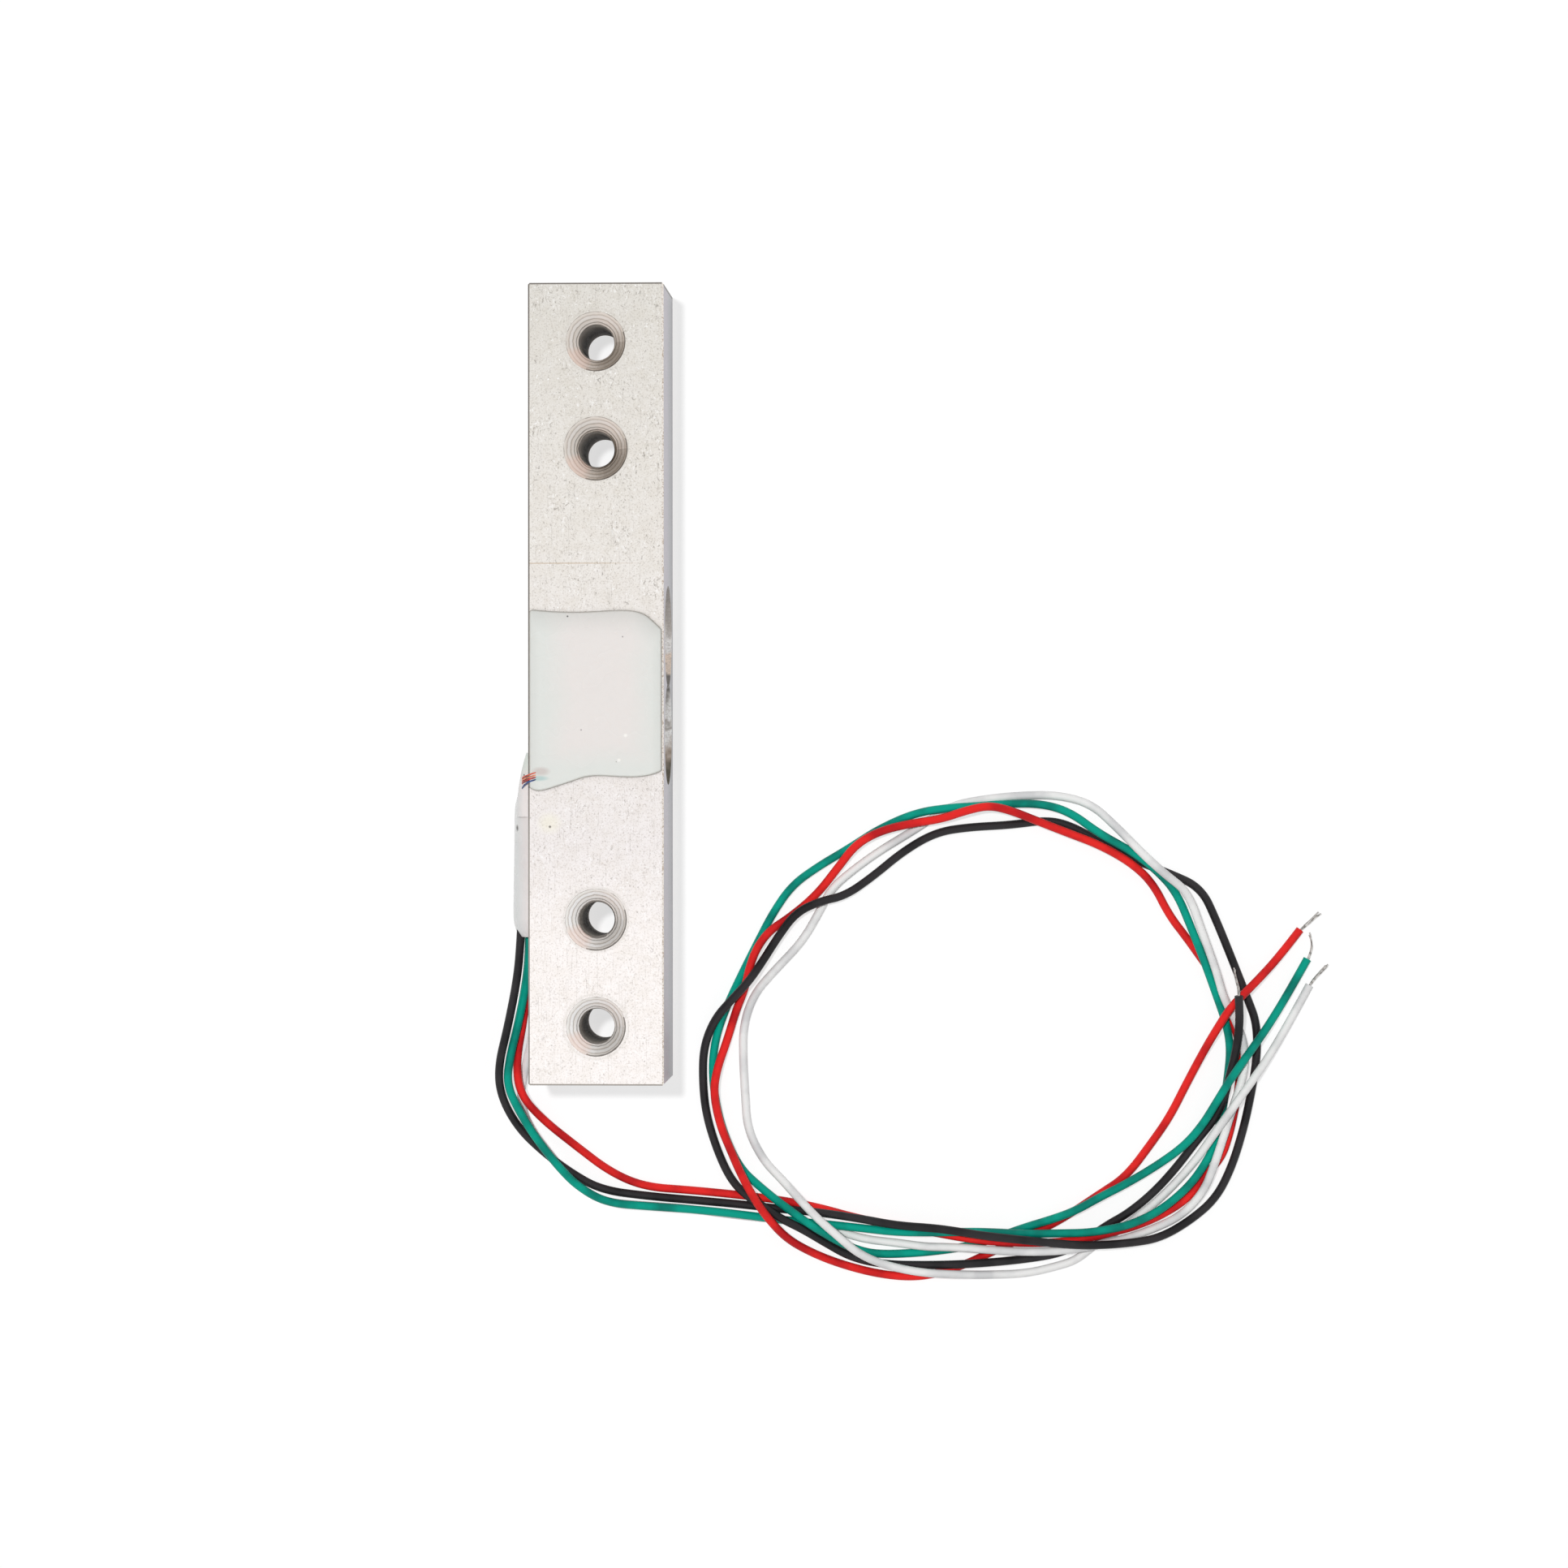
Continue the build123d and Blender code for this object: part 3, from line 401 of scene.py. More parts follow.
def dots(tree, vector, scale, radius, kept):
    # small round spots, one in each kept cell; 1 inside a spot and 0 outside
    cells = put(tree, "TexVoronoi", {"Vector": vector, "Scale": scale}).outputs
    draw = put(tree, "SeparateXYZ", {0: cells["Color"]}).outputs["X"]
    inside = put(tree, "Math", {0: cells["Distance"], 1: radius}, operation="LESS_THAN")
    return put(tree, "Math", {
        0: inside, 1: put(tree, "Math", {0: draw, 1: kept}, operation="LESS_THAN")}, operation="MULTIPLY")


def mark(tree, in_mm, centre, size):
    # a soft spot round a point, with its half sizes; 1 in its middle and 0 outside
    away = put(tree, "VectorMath", {0: in_mm, 1: centre}, operation="SUBTRACT")
    away = put(tree, "VectorMath", {0: away, 1: size}, operation="DIVIDE")
    reach = put(tree, "VectorMath", {0: away}, operation="LENGTH")
    return put(tree, "MapRange", {"Value": reach, "From Min": 1.0, "From Max": 0.4})


# bare drawn aluminium, rubbed and handled: a pale satin face that mirrors the white
# tent, with grey in its pits and rubbed streaks, and painted light and shade on its
# faces, broken edges, countersinks and bores
bare, tree = blank_material("milled_bare_aluminium")
in_mm, across, along, up = position_in_mm(tree)
shape = put(tree, "NewGeometry").outputs
facing = put(tree, "SeparateXYZ", {0: shape["True Normal"]}).outputs
flat_up = put(tree, "Math", {0: facing["Z"], 1: SQUARE}, operation="GREATER_THAN")
level = put(tree, "Math", {0: facing["Z"]}, operation="ABSOLUTE")
on_side = put(tree, "Math", {
    0: put(tree, "Math", {0: facing["X"]}, operation="ABSOLUTE"), 1: SQUARE}, operation="GREATER_THAN")
on_end = put(tree, "Math", {
    0: put(tree, "Math", {0: facing["Y"]}, operation="ABSOLUTE"), 1: SQUARE}, operation="GREATER_THAN")

# how far a point is from the axis of the nearest tapped hole: the beam is folded
# at its middle and between the two holes of a pair
fold = put(tree, "Math", {
    0: put(tree, "Math", {0: along, 1: BEAM_MIDDLE}, operation="SUBTRACT")}, operation="ABSOLUTE")
fold = put(tree, "Math", {
    0: put(tree, "Math", {0: fold, 1: BEAM_MIDDLE}, operation="SUBTRACT")}, operation="ABSOLUTE")
fold = put(tree, "Math", {0: fold, 1: HOLE_PITCH / 2}, operation="SUBTRACT")
reach = put(tree, "Math", {
    0: put(tree, "Math", {
        0: put(tree, "Math", {0: across, 1: 2.0}, operation="POWER"),
        1: put(tree, "Math", {0: fold, 1: 2.0}, operation="POWER")}, operation="ADD")}, operation="SQRT")

# top face: paler towards the end with the leads, which is painted light, a brighter
# reflection drawn into its colour. Its clouds are about a millimetre wide, its grain
# a sixth of one and so coarser than the real one, its round pits and glints 0.16 mm across
share = put(tree, "MapRange", {"Value": along, "From Min": BEAM_ENDS[0], "From Max": BEAM_ENDS[1]})
base = put(tree, "ValToRGB", {0: share}, stops=[
    (0.0, "#fbf6f4"), (0.18, "#faf5f3"), (0.3, "#f0ebea"), (0.68, "#eae6e1"), (1.0, "#e0ddd7")])
clouds = put(tree, "TexNoise", {"Vector": in_mm, "Scale": 0.9, "Detail": 4.0, "Roughness": 0.6})
base = put(tree, "Mix", {
    0: 1.0, 6: base, 7: put(tree, "ValToRGB", {0: clouds}, stops=[(0.35, "#faf9f7"), (0.6, WHITE)])},
    data_type="RGBA", blend_type="MULTIPLY")
grain = put(tree, "TexNoise", {"Vector": in_mm, "Scale": 6.0, "Detail": 3.0, "Roughness": 0.65})
base = put(tree, "Mix", {
    0: 0.6, 6: base, 7: put(tree, "ValToRGB", {0: grain}, stops=[(0.3, "#c6c1bb"), (0.5, WHITE)])},
    data_type="RGBA", blend_type="MULTIPLY")
pits = dots(tree, in_mm, 1.6, 0.13, 0.4)
base = put(tree, "Mix", {
    0: put(tree, "Math", {0: pits, 1: 0.4}, operation="MULTIPLY"), 6: base, 7: "#8f8880"}, data_type="RGBA")
glints = dots(tree, in_mm, 1.1, 0.09, 0.3)
base = put(tree, "Mix", {
    0: put(tree, "Math", {0: glints, 1: 0.7}, operation="MULTIPLY"), 6: base, 7: WHITE}, data_type="RGBA")

# scuffed patches two millimetres wide, where dark and bright marks gather, each
# a fifth of a millimetre wide and twice as long
scuffed = put(tree, "ValToRGB", {
    0: put(tree, "TexNoise", {"Vector": in_mm, "Scale": 0.42, "Detail": 2.0, "Roughness": 0.6})},
    stops=[(0.5, BLACK), (0.62, WHITE)])
bend = put(tree, "TexNoise", {"Vector": in_mm, "Scale": 1.2}).outputs["Color"]
bent = put(tree, "VectorMath", {0: in_mm, 1: bend})
stretched = put(tree, "Mapping", {"Vector": bent, "Rotation": (0, 0, radians(20)), "Scale": (5.2, 2.6, 1.0)})
specks = put(tree, "TexNoise", {"Vector": stretched, "Scale": 1.0, "Detail": 3.0, "Roughness": 0.7})
dark_specks = put(tree, "ValToRGB", {
    0: put(tree, "Math", {0: scuffed, 1: 0.045, 2: specks}, operation="MULTIPLY_ADD")},
    stops=[(0.62, BLACK), (0.69, WHITE)])
pale_specks = put(tree, "ValToRGB", {
    0: put(tree, "Math", {0: scuffed, 1: -0.045, 2: specks}, operation="MULTIPLY_ADD")},
    stops=[(0.33, WHITE), (0.38, BLACK)])
strength = put(tree, "MapRange", {
    "Value": share, "From Min": 0.1, "From Max": 0.6, "To Min": 0.3, "To Max": 0.6})
base = put(tree, "Mix", {
    0: put(tree, "Math", {0: dark_specks, 1: strength}, operation="MULTIPLY"), 6: base, 7: "#88827b"},
    data_type="RGBA")
base = put(tree, "Mix", {
    0: put(tree, "Math", {0: pale_specks, 1: 0.5}, operation="MULTIPLY"), 6: base, 7: WHITE},
    data_type="RGBA")

# fine scratches in three directions, each a line 0.1 mm wide that comes and goes
# over 3 mm, wider than a real one
scratch = None
for turn, step in ((38, 9.0), (-12, 11.0), (8, 10.0)):
    turned = put(tree, "Mapping", {
        "Vector": in_mm, "Rotation": (0, 0, radians(turn)), "Scale": (step, 0.3, 1.0)})
    line = put(tree, "ValToRGB", {
        0: put(tree, "TexNoise", {"Vector": turned, "Scale": 1.0, "Detail": 1.0})},
        stops=[(0.7, BLACK), (0.74, WHITE)])
    scratch = line if scratch is None else put(tree, "Math", {0: scratch, 1: line}, operation="MAXIMUM")
base = put(tree, "Mix", {
    0: put(tree, "Math", {0: scratch, 1: 0.22}, operation="MULTIPLY"), 6: base, 7: "#9d978f"},
    data_type="RGBA")

# brown flecks, most of them along the edge over the right side
edge = put(tree, "MapRange", {"Value": across, "From Min": 5.3, "From Max": 6.3})
fleck = put(tree, "TexNoise", {"Vector": in_mm, "Scale": 4.5, "Detail": 3.0, "Roughness": 0.8})
fleck = put(tree, "ValToRGB", {
    0: put(tree, "Math", {0: edge, 1: 0.08, 2: fleck}, operation="MULTIPLY_ADD")},
    stops=[(0.7, BLACK), (0.76, WHITE)])
base = put(tree, "Mix", {
    0: put(tree, "Math", {0: fleck, 1: 0.5}, operation="MULTIPLY"), 6: base, 7: "#a8937c"}, data_type="RGBA")

# a dark speck in a yellowish patch between the silicone and the fixed end
patch = mark(tree, in_mm, (-4.35, 14.0, BEAM_TOP), (1.3, 1.2, 1.0))
base = put(tree, "Mix", {
    0: put(tree, "Math", {0: patch, 1: 0.5}, operation="MULTIPLY"), 6: base, 7: "#f1edda"}, data_type="RGBA")
speck = mark(tree, in_mm, (-4.3, 13.68, BEAM_TOP), (0.16, 0.16, 1.0))
base = put(tree, "Mix", {
    0: put(tree, "Math", {0: speck, 1: 0.9}, operation="MULTIPLY"), 6: base, 7: "#77716b"}, data_type="RGBA")

# a brownish line scribed across the top face from the bead's side, fading out
fade = put(tree, "MapRange", {"Value": across, "From Min": 5.0, "From Max": -1.0})
from_line = put(tree, "Math", {
    0: put(tree, "Math", {0: along, 1: SCRIBED_AT}, operation="SUBTRACT")}, operation="ABSOLUTE")
scribed = put(tree, "Math", {0: from_line, 1: 0.045}, operation="LESS_THAN")
scribed = put(tree, "Math", {
    0: scribed, 1: put(tree, "Math", {0: fade, 1: flat_up}, operation="MULTIPLY")}, operation="MULTIPLY")
base = put(tree, "Mix", {
    0: put(tree, "Math", {0: scribed, 1: 0.55}, operation="MULTIPLY"), 6: base, 7: "#b79a74"},
    data_type="RGBA")

# sides and ends: sawn and rubbed along the beam, in streaks a quarter of a
# millimetre wide. Their tone is painted shade: greyer than the top face, darkest in
# a line at the foot by the table, with a touch of violet in the upper half
rubbed = put(tree, "Mapping", {"Vector": in_mm, "Scale": (4.0, 0.4, 4.0)})
rubbed = put(tree, "ValToRGB", {
    0: put(tree, "TexNoise", {"Vector": rubbed, "Scale": 1.0, "Detail": 4.0, "Roughness": 0.65})},
    stops=[(0.35, "#dedbde"), (0.6, WHITE)])
height_share = put(tree, "MapRange", {"Value": up, "From Min": 0.0, "From Max": BEAM_TOP})
flank = put(tree, "ValToRGB", {0: height_share}, stops=[
    (0.02, "#868689"), (0.08, "#a5a6a9"), (0.42, "#aaaaae"), (0.6, "#b4b0b7"), (1.0, "#b8b4bb")])
flank = put(tree, "Mix", {0: 0.5, 6: flank, 7: rubbed}, data_type="RGBA", blend_type="MULTIPLY")
# painted shade: a dark band on the sides where the bevel of the far end turns away
corner = put(tree, "Math", {0: along, 1: BEAM_ENDS[1] - CORNER_BREAK}, operation="GREATER_THAN")
flank = put(tree, "Mix", {
    0: put(tree, "Math", {0: corner, 1: on_side}, operation="MULTIPLY"), 6: flank, 7: "#6b6763"},
    data_type="RGBA")
base = put(tree, "Mix", {
    0: put(tree, "Math", {0: on_side, 1: on_end}, operation="MAXIMUM"), 6: base, 7: flank}, data_type="RGBA")

# broken edges: painted shade, darker towards the far end, but painted light and flecked brown over the right
# side
level_face = put(tree, "Math", {0: level, 1: SQUARE}, operation="GREATER_THAN")
plain_face = put(tree, "Math", {
    0: level_face, 1: put(tree, "Math", {0: on_side, 1: on_end}, operation="MAXIMUM")}, operation="MAXIMUM")
right_edge = put(tree, "Math", {
    0: put(tree, "Math", {0: facing["X"], 1: SLOPING}, operation="GREATER_THAN"),
    1: put(tree, "Math", {0: level, 1: SLOPING}, operation="GREATER_THAN")}, operation="MULTIPLY")
shaded_break = put(tree, "ValToRGB", {0: share}, stops=[(0.3, "#aaa49e"), (0.42, "#847e78")])
break_tone = put(tree, "Mix", {
    0: right_edge, 6: shaded_break,
    7: put(tree, "ValToRGB", {0: grain}, stops=[(0.38, "#b9a998"), (0.52, "#efe9e2")])}, data_type="RGBA")
base = put(tree, "Mix", {0: plain_face, 6: break_tone, 7: base}, data_type="RGBA")

# countersinks: rings left by the tool, from the rim down to the thread; their bright and dark bands are partly
# painted reflections, and they are paler towards the fixed end, like the painted light on the top face
depth = put(tree, "MapRange", {"Value": up, "From Min": BEAM_TOP, "From Max": BEAM_TOP - SINK_DEPTH})
depth = put(tree, "Math", {
    0: put(tree, "TexNoise", {"Vector": in_mm, "Scale": 1.6, "Detail": 3.0}), 1: 0.12,
    2: put(tree, "Math", {0: depth, 1: 0.06}, operation="SUBTRACT")}, operation="MULTIPLY_ADD")
rings = put(tree, "ValToRGB", {0: depth}, stops=[
    (0.0, "#a8a29b"), (0.05, "#fffefb"), (0.16, "#f6f3ef"), (0.21, "#d3cdc7"), (0.27, WHITE),
    (0.4, WHITE), (0.46, "#c4beb7"), (0.52, "#fbf8f5"), (0.66, WHITE), (0.72, "#9f9992"),
    (0.77, WHITE), (0.84, "#fbf8f5"), (0.89, "#6f6a65"), (0.95, "#f1ede9"), (1.0, "#7d7872")])
rings = put(tree, "Mix", {
    0: 1.0, 6: rings, 7: put(tree, "ValToRGB", {0: share}, stops=[(0.3, WHITE), (0.7, "#f1ede9")])},
    data_type="RGBA", blend_type="MULTIPLY")
# painted shade: each countersink is darkened on its lower right, where it faces the upper left, less so
# towards the fixed end
toward = put(tree, "VectorMath", {0: shape["Normal"], 1: (-0.7, 0.7, 0.0)}, operation="DOT_PRODUCT")
painted_side_shade = put(tree, "ValToRGB", {
    0: put(tree, "Math", {0: grain, 1: 0.3, 2: toward}, operation="MULTIPLY_ADD")},
    stops=[(0.3, WHITE), (0.6, "#ebe7e3"), (0.8, "#c9c4be")])
from_fixed = put(tree, "MapRange", {"Value": share, "From Min": 0.3, "From Max": 0.7, "To Min": 0.35})
rings = put(tree, "Mix", {0: from_fixed, 6: rings, 7: painted_side_shade}, data_type="RGBA", blend_type="MULTIPLY")
# painted shade: a dark band at the top of each countersink on that same side
lip = put(tree, "Math", {
    0: put(tree, "Math", {0: depth, 1: 0.1}, operation="LESS_THAN"),
    1: put(tree, "Math", {0: toward, 1: 0.3}, operation="GREATER_THAN")}, operation="MULTIPLY")
rings = put(tree, "Mix", {
    0: put(tree, "Math", {0: lip, 1: 0.8}, operation="MULTIPLY"), 6: rings, 7: "#7f7973"}, data_type="RGBA")
# painted glint: a pink reflection on the lower left of each countersink
glint_side = put(tree, "VectorMath", {0: shape["Normal"], 1: (0.7, 0.7, 0.0)}, operation="DOT_PRODUCT")
pink = put(tree, "MapRange", {"Value": glint_side, "From Min": 0.58, "From Max": 0.67})
rings = put(tree, "Mix", {
    0: put(tree, "Math", {0: pink, 1: 0.4}, operation="MULTIPLY"), 6: rings, 7: "#fbd6c6"}, data_type="RGBA")
sunk = put(tree, "Math", {
    0: put(tree, "Math", {0: reach, 1: SINK_REACH}, operation="LESS_THAN"),
    1: put(tree, "Math", {0: level, 1: SQUARE}, operation="LESS_THAN")}, operation="MULTIPLY")
base = put(tree, "Mix", {0: sunk, 6: base, 7: rings}, data_type="RGBA")

# a thin grey line round each countersink on the top face, just outside its rim
rim_line = put(tree, "ValToRGB", {
    0: put(tree, "Math", {0: reach, 1: 4.0}, operation="DIVIDE")},
    stops=[(0.7, BLACK), (0.76, WHITE), (0.8, BLACK)])
base = put(tree, "Mix", {
    0: put(tree, "Math", {
        0: put(tree, "Math", {0: rim_line, 1: flat_up}, operation="MULTIPLY"), 1: 0.35}, operation="MULTIPLY"),
    6: base, 7: "#cfcac3"}, data_type="RGBA")

# walls of the tapped bores, with painted shade that darkens them down the hole
deep = put(tree, "MapRange", {"Value": up, "From Min": 12.0, "From Max": 6.5})
wall = put(tree, "Math", {
    0: put(tree, "Math", {0: reach, 1: BORE_RADIUS + 0.05}, operation="LESS_THAN"),
    1: put(tree, "Math", {0: level, 1: SLOPING}, operation="LESS_THAN")}, operation="MULTIPLY")
base = put(tree, "Mix", {
    0: wall, 6: base,
    7: put(tree, "ValToRGB", {0: deep}, stops=[(0.0, "#f4efea"), (0.35, "#b9b2ab"), (1.0, "#5b554f")])},
    data_type="RGBA")

# walls of the hollow: bands of painted light and shade across the beam, standing
# for reflections in the bores, with blotches about a millimetre wide that bend them
from_bore = put(tree, "Math", {
    0: put(tree, "Math", {
        0: put(tree, "Math", {0: along, 1: BEAM_MIDDLE}, operation="SUBTRACT")}, operation="ABSOLUTE"),
    1: HOLLOW_PITCH / 2}, operation="SUBTRACT")
from_axis = put(tree, "Math", {0: up, 1: BEAM_TOP / 2}, operation="SUBTRACT")
bore_reach = put(tree, "Math", {
    0: put(tree, "Math", {
        0: put(tree, "Math", {0: from_bore, 1: 2.0}, operation="POWER"),
        1: put(tree, "Math", {0: from_axis, 1: 2.0}, operation="POWER")}, operation="ADD")}, operation="SQRT")
milled = put(tree, "Math", {0: bore_reach, 1: HOLLOW_BORE / 2 + 0.02}, operation="LESS_THAN")
bands = put(tree, "Math", {
    0: put(tree, "TexNoise", {"Vector": in_mm, "Scale": 0.9, "Detail": 1.0, "Roughness": 0.4}), 1: 0.06,
    2: put(tree, "Math", {0: along, 1: 52.5}, operation="DIVIDE")}, operation="MULTIPLY_ADD")
hollow_light_and_shade = put(tree, "ValToRGB", {0: bands}, stops=[
    (0.4, "#858074"), (0.425, "#cfc3b8"), (0.45, WHITE), (0.463, WHITE), (0.474, "#c9c4bf"),
    (0.482, WHITE), (0.51, WHITE), (0.525, "#d2cfcd"), (0.545, "#a5a29f"), (0.565, "#a5a29f"),
    (0.575, "#fbf0e6"), (0.61, "#fbf0e6"), (0.62, WHITE), (0.64, WHITE), (0.655, "#dad6d3"),
    (0.74, "#c0bdba")])
hollow_light_and_shade = put(tree, "Mix", {
    0: 0.3, 6: hollow_light_and_shade, 7: put(tree, "ValToRGB", {0: grain}, stops=[(0.38, "#a3998f"), (0.56, WHITE)])},
    data_type="RGBA", blend_type="MULTIPLY")
base = put(tree, "Mix", {0: milled, 6: base, 7: hollow_light_and_shade}, data_type="RGBA")

# relief: grain, rings, pits, scratches and marks, 0.03 mm deep at most, shallower
# and duller in the hollow
height = put(tree, "Math", {0: grain, 1: 0.5}, operation="MULTIPLY")
height = put(tree, "Math", {
    0: put(tree, "Math", {0: depth, 1: sunk}, operation="MULTIPLY"), 1: 0.4, 2: height},
    operation="MULTIPLY_ADD")
height = put(tree, "Math", {0: pits, 1: -0.6, 2: height}, operation="MULTIPLY_ADD")
height = put(tree, "Math", {0: scratch, 1: -0.3, 2: height}, operation="MULTIPLY_ADD")
height = put(tree, "Math", {0: dark_specks, 1: -0.4, 2: height}, operation="MULTIPLY_ADD")
height = put(tree, "Math", {
    0: height, 1: put(tree, "Math", {0: milled, 1: -0.75, 2: 1.0}, operation="MULTIPLY_ADD")},
    operation="MULTIPLY")
relief = put(tree, "Bump", {"Height": height, "Strength": 0.35, "Distance": 0.03 * MM})
gloss = put(tree, "MapRange", {
    "Value": grain, "From Min": 0.3, "From Max": 0.7, "To Min": 0.32, "To Max": 0.5})
gloss = put(tree, "Math", {0: milled, 1: 0.36, 2: gloss}, operation="MULTIPLY_ADD")
metal = put(tree, "BsdfPrincipled", {
    "Base Color": base, "Metallic": 1.0, "Roughness": gloss, "Normal": relief})
put(tree, "OutputMaterial", {"Surface": metal})


def dress(node, *materials):
    # gives a solid of the frame its finished material
    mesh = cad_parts[node].data
    mesh.materials.clear()
    for material in materials:
        mesh.materials.append(material)


dress("beam", bare)


# Threads: the four holes are tapped M4 right through. The ridges of the thread
# stand inside the bore from one countersink to the other.
THREAD_PITCH = 0.7
CREST = 0.1
HALF_FOOT = 0.24
HALF_CREST = 0.05
THREAD_FROM = 0.85
THREAD_TO = 11.45
TURN_STEPS = 40

# freshly cut aluminium, torn by the tap in spots of 0.3 mm, coarser than the real
# ones; painted shade makes the ridges bright near the mouth and dark down the hole
cut_metal, tree = blank_material("cut_thread_aluminium")
in_mm, across, along, up = position_in_mm(tree)
torn = put(tree, "TexNoise", {"Vector": in_mm, "Scale": 3.5, "Detail": 3.0})
deep = put(tree, "MapRange", {"Value": up, "From Min": 11.5, "From Max": 5.0})
tone = put(tree, "Mix", {
    0: 0.3,
    6: put(tree, "ValToRGB", {0: deep}, stops=[(0.0, "#fbf6f1"), (0.35, "#c2bbb4"), (1.0, "#5f5953")]),
    7: put(tree, "ValToRGB", {0: torn}, stops=[(0.35, "#c7c1bb"), (0.6, WHITE)])}, data_type="RGBA",
    blend_type="MULTIPLY")
relief = put(tree, "Bump", {"Height": torn, "Strength": 0.3, "Distance": 0.02 * MM})
gloss = put(tree, "MapRange", {"Value": torn, "To Min": 0.25, "To Max": 0.45})
metal = put(tree, "BsdfPrincipled", {
    "Base Color": tone, "Metallic": 0.8, "Roughness": gloss, "Normal": relief})
put(tree, "OutputMaterial", {"Surface": metal})

thread_mesh = bmesh.new()
for row in HOLE_ROWS:
    steps = int((THREAD_TO - THREAD_FROM) / THREAD_PITCH * TURN_STEPS)
    last = None
    for step in range(steps + 1):
        angle = 2 * pi * step / TURN_STEPS
        z = THREAD_FROM + THREAD_PITCH * step / TURN_STEPS
        fade = min(1.0, step / TURN_STEPS, (steps - step) / TURN_STEPS)
        crest = BORE_RADIUS - CREST * fade
        ring = []
        for radius, shift in ((BORE_RADIUS, -HALF_FOOT), (crest, -HALF_CREST),
                              (crest, HALF_CREST), (BORE_RADIUS, HALF_FOOT)):
            spot = (radius * cos(angle), row + radius * sin(angle), z + shift)
            ring.append(thread_mesh.verts.new([value * MM for value in spot]))
        if last:
            for i in range(3):
                thread_mesh.faces.new((last[i], last[i + 1], ring[i + 1], ring[i]))
        last = ring
mesh = bpy.data.meshes.new("tapped_threads")
thread_mesh.to_mesh(mesh)
thread_mesh.free()
mesh.materials.append(cut_metal)
threads = bpy.data.objects.new("tapped_threads", mesh)
scene.collection.objects.link(threads)
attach(threads, "root")


# Silicone: a pale neutral sealant, wiped thin over the gauges on the top and
# bottom face and laid as a fat bead over the soldered joints on the side. The
# wires under it show through near the edge of the beam.
COAT_LEVEL = 13.2
# along the beam: where the coating turns cooler, and where painted shade darkens it towards its far edge
COOLER = (21.8, 19.0)
SHADED_FAR_EDGE = (31.2, 34.0)

# cured silicone: milky, so a little light goes in and softens its edges, with a wet
# gloss that bends over the waves left by the wiping, about 3 mm long
silicone, tree = blank_material("cured_neutral_silicone")
in_mm, across, along, up = position_in_mm(tree)
shape = put(tree, "NewGeometry").outputs
waves = put(tree, "TexNoise", {"Vector": in_mm, "Scale": 0.3})
wander = put(tree, "Math", {0: waves, 1: 2.4, 2: -1.2}, operation="MULTIPLY_ADD")
# a warm middle, and cooler along the sides and at the end with the leads
middle = put(tree, "Math", {
    0: put(tree, "Math", {
        0: put(tree, "Math", {0: across, 1: 1.0, 2: -0.4}, operation="MULTIPLY_ADD"), 1: wander},
        operation="ADD")}, operation="ABSOLUTE")
rim = put(tree, "MapRange", {"Value": middle, "From Min": 2.6, "From Max": 5.2})
lower = put(tree, "MapRange", {
    "Value": put(tree, "Math", {0: along, 1: wander}, operation="ADD"),
    "From Min": COOLER[0], "From Max": COOLER[1]})
coat_tone = put(tree, "Mix", {
    0: put(tree, "Math", {0: rim, 1: lower}, operation="MAXIMUM"), 6: "#e7e2df", 7: "#e0e2de"},
    data_type="RGBA")
# painted shade darkens it at the far end, by the sides and on its sloping rim
fallen = put(tree, "Math", {
    0: put(tree, "Math", {
        0: put(tree, "Math", {0: across, 1: 3.6}, operation="SUBTRACT"), 1: 0.0}, operation="MAXIMUM"),
    1: 0.65}, operation="MULTIPLY")
upper = put(tree, "MapRange", {
    "Value": put(tree, "Math", {0: along, 1: fallen}, operation="ADD"),
    "From Min": SHADED_FAR_EDGE[0], "From Max": SHADED_FAR_EDGE[1]})
sides = put(tree, "MapRange", {
    "Value": put(tree, "Math", {0: across}, operation="ABSOLUTE"), "From Min": 5.2, "From Max": 6.3})
painted_rim_shade = put(tree, "Math", {
    0: put(tree, "Math", {0: upper, 1: 1.6}, operation="POWER"),
    1: put(tree, "Math", {0: sides, 1: 0.55}, operation="MULTIPLY")}, operation="MAXIMUM")
coat_tone = put(tree, "Mix", {
    0: put(tree, "Math", {0: painted_rim_shade, 1: 0.75}, operation="MULTIPLY"), 6: coat_tone, 7: "#c9c9c5"},
    data_type="RGBA")
level = put(tree, "Math", {
    0: put(tree, "VectorMath", {0: shape["Normal"], 1: (0.0, 0.0, 1.0)}, operation="DOT_PRODUCT")},
    operation="ABSOLUTE")
# painted shade: the more steeply the silicone slopes, the darker it is drawn
coat_tone = put(tree, "Mix", {
    0: 1.0, 6: coat_tone,
    7: put(tree, "ValToRGB", {0: level}, stops=[(0.2, "#aaa6a1"), (0.75, "#dfdcd8"), (1.0, WHITE)])},
    data_type="RGBA", blend_type="MULTIPLY")

# by the edge of the beam the wires tint the silicone over them
brownish = mark(tree, in_mm, (-5.1, 18.85, COAT_LEVEL), (1.0, 0.5, 0.6))
coat_tone = put(tree, "Mix", {
    0: put(tree, "Math", {0: brownish, 1: 0.45}, operation="MULTIPLY"), 6: coat_tone, 7: "#b9a29d"},
    data_type="RGBA")
bluish = mark(tree, in_mm, (-5.3, 18.2, COAT_LEVEL), (1.1, 0.3, 0.6))
coat_tone = put(tree, "Mix", {
    0: put(tree, "Math", {0: bluish, 1: 0.5}, operation="MULTIPLY"), 6: coat_tone, 7: "#86b9b8"},
    data_type="RGBA")

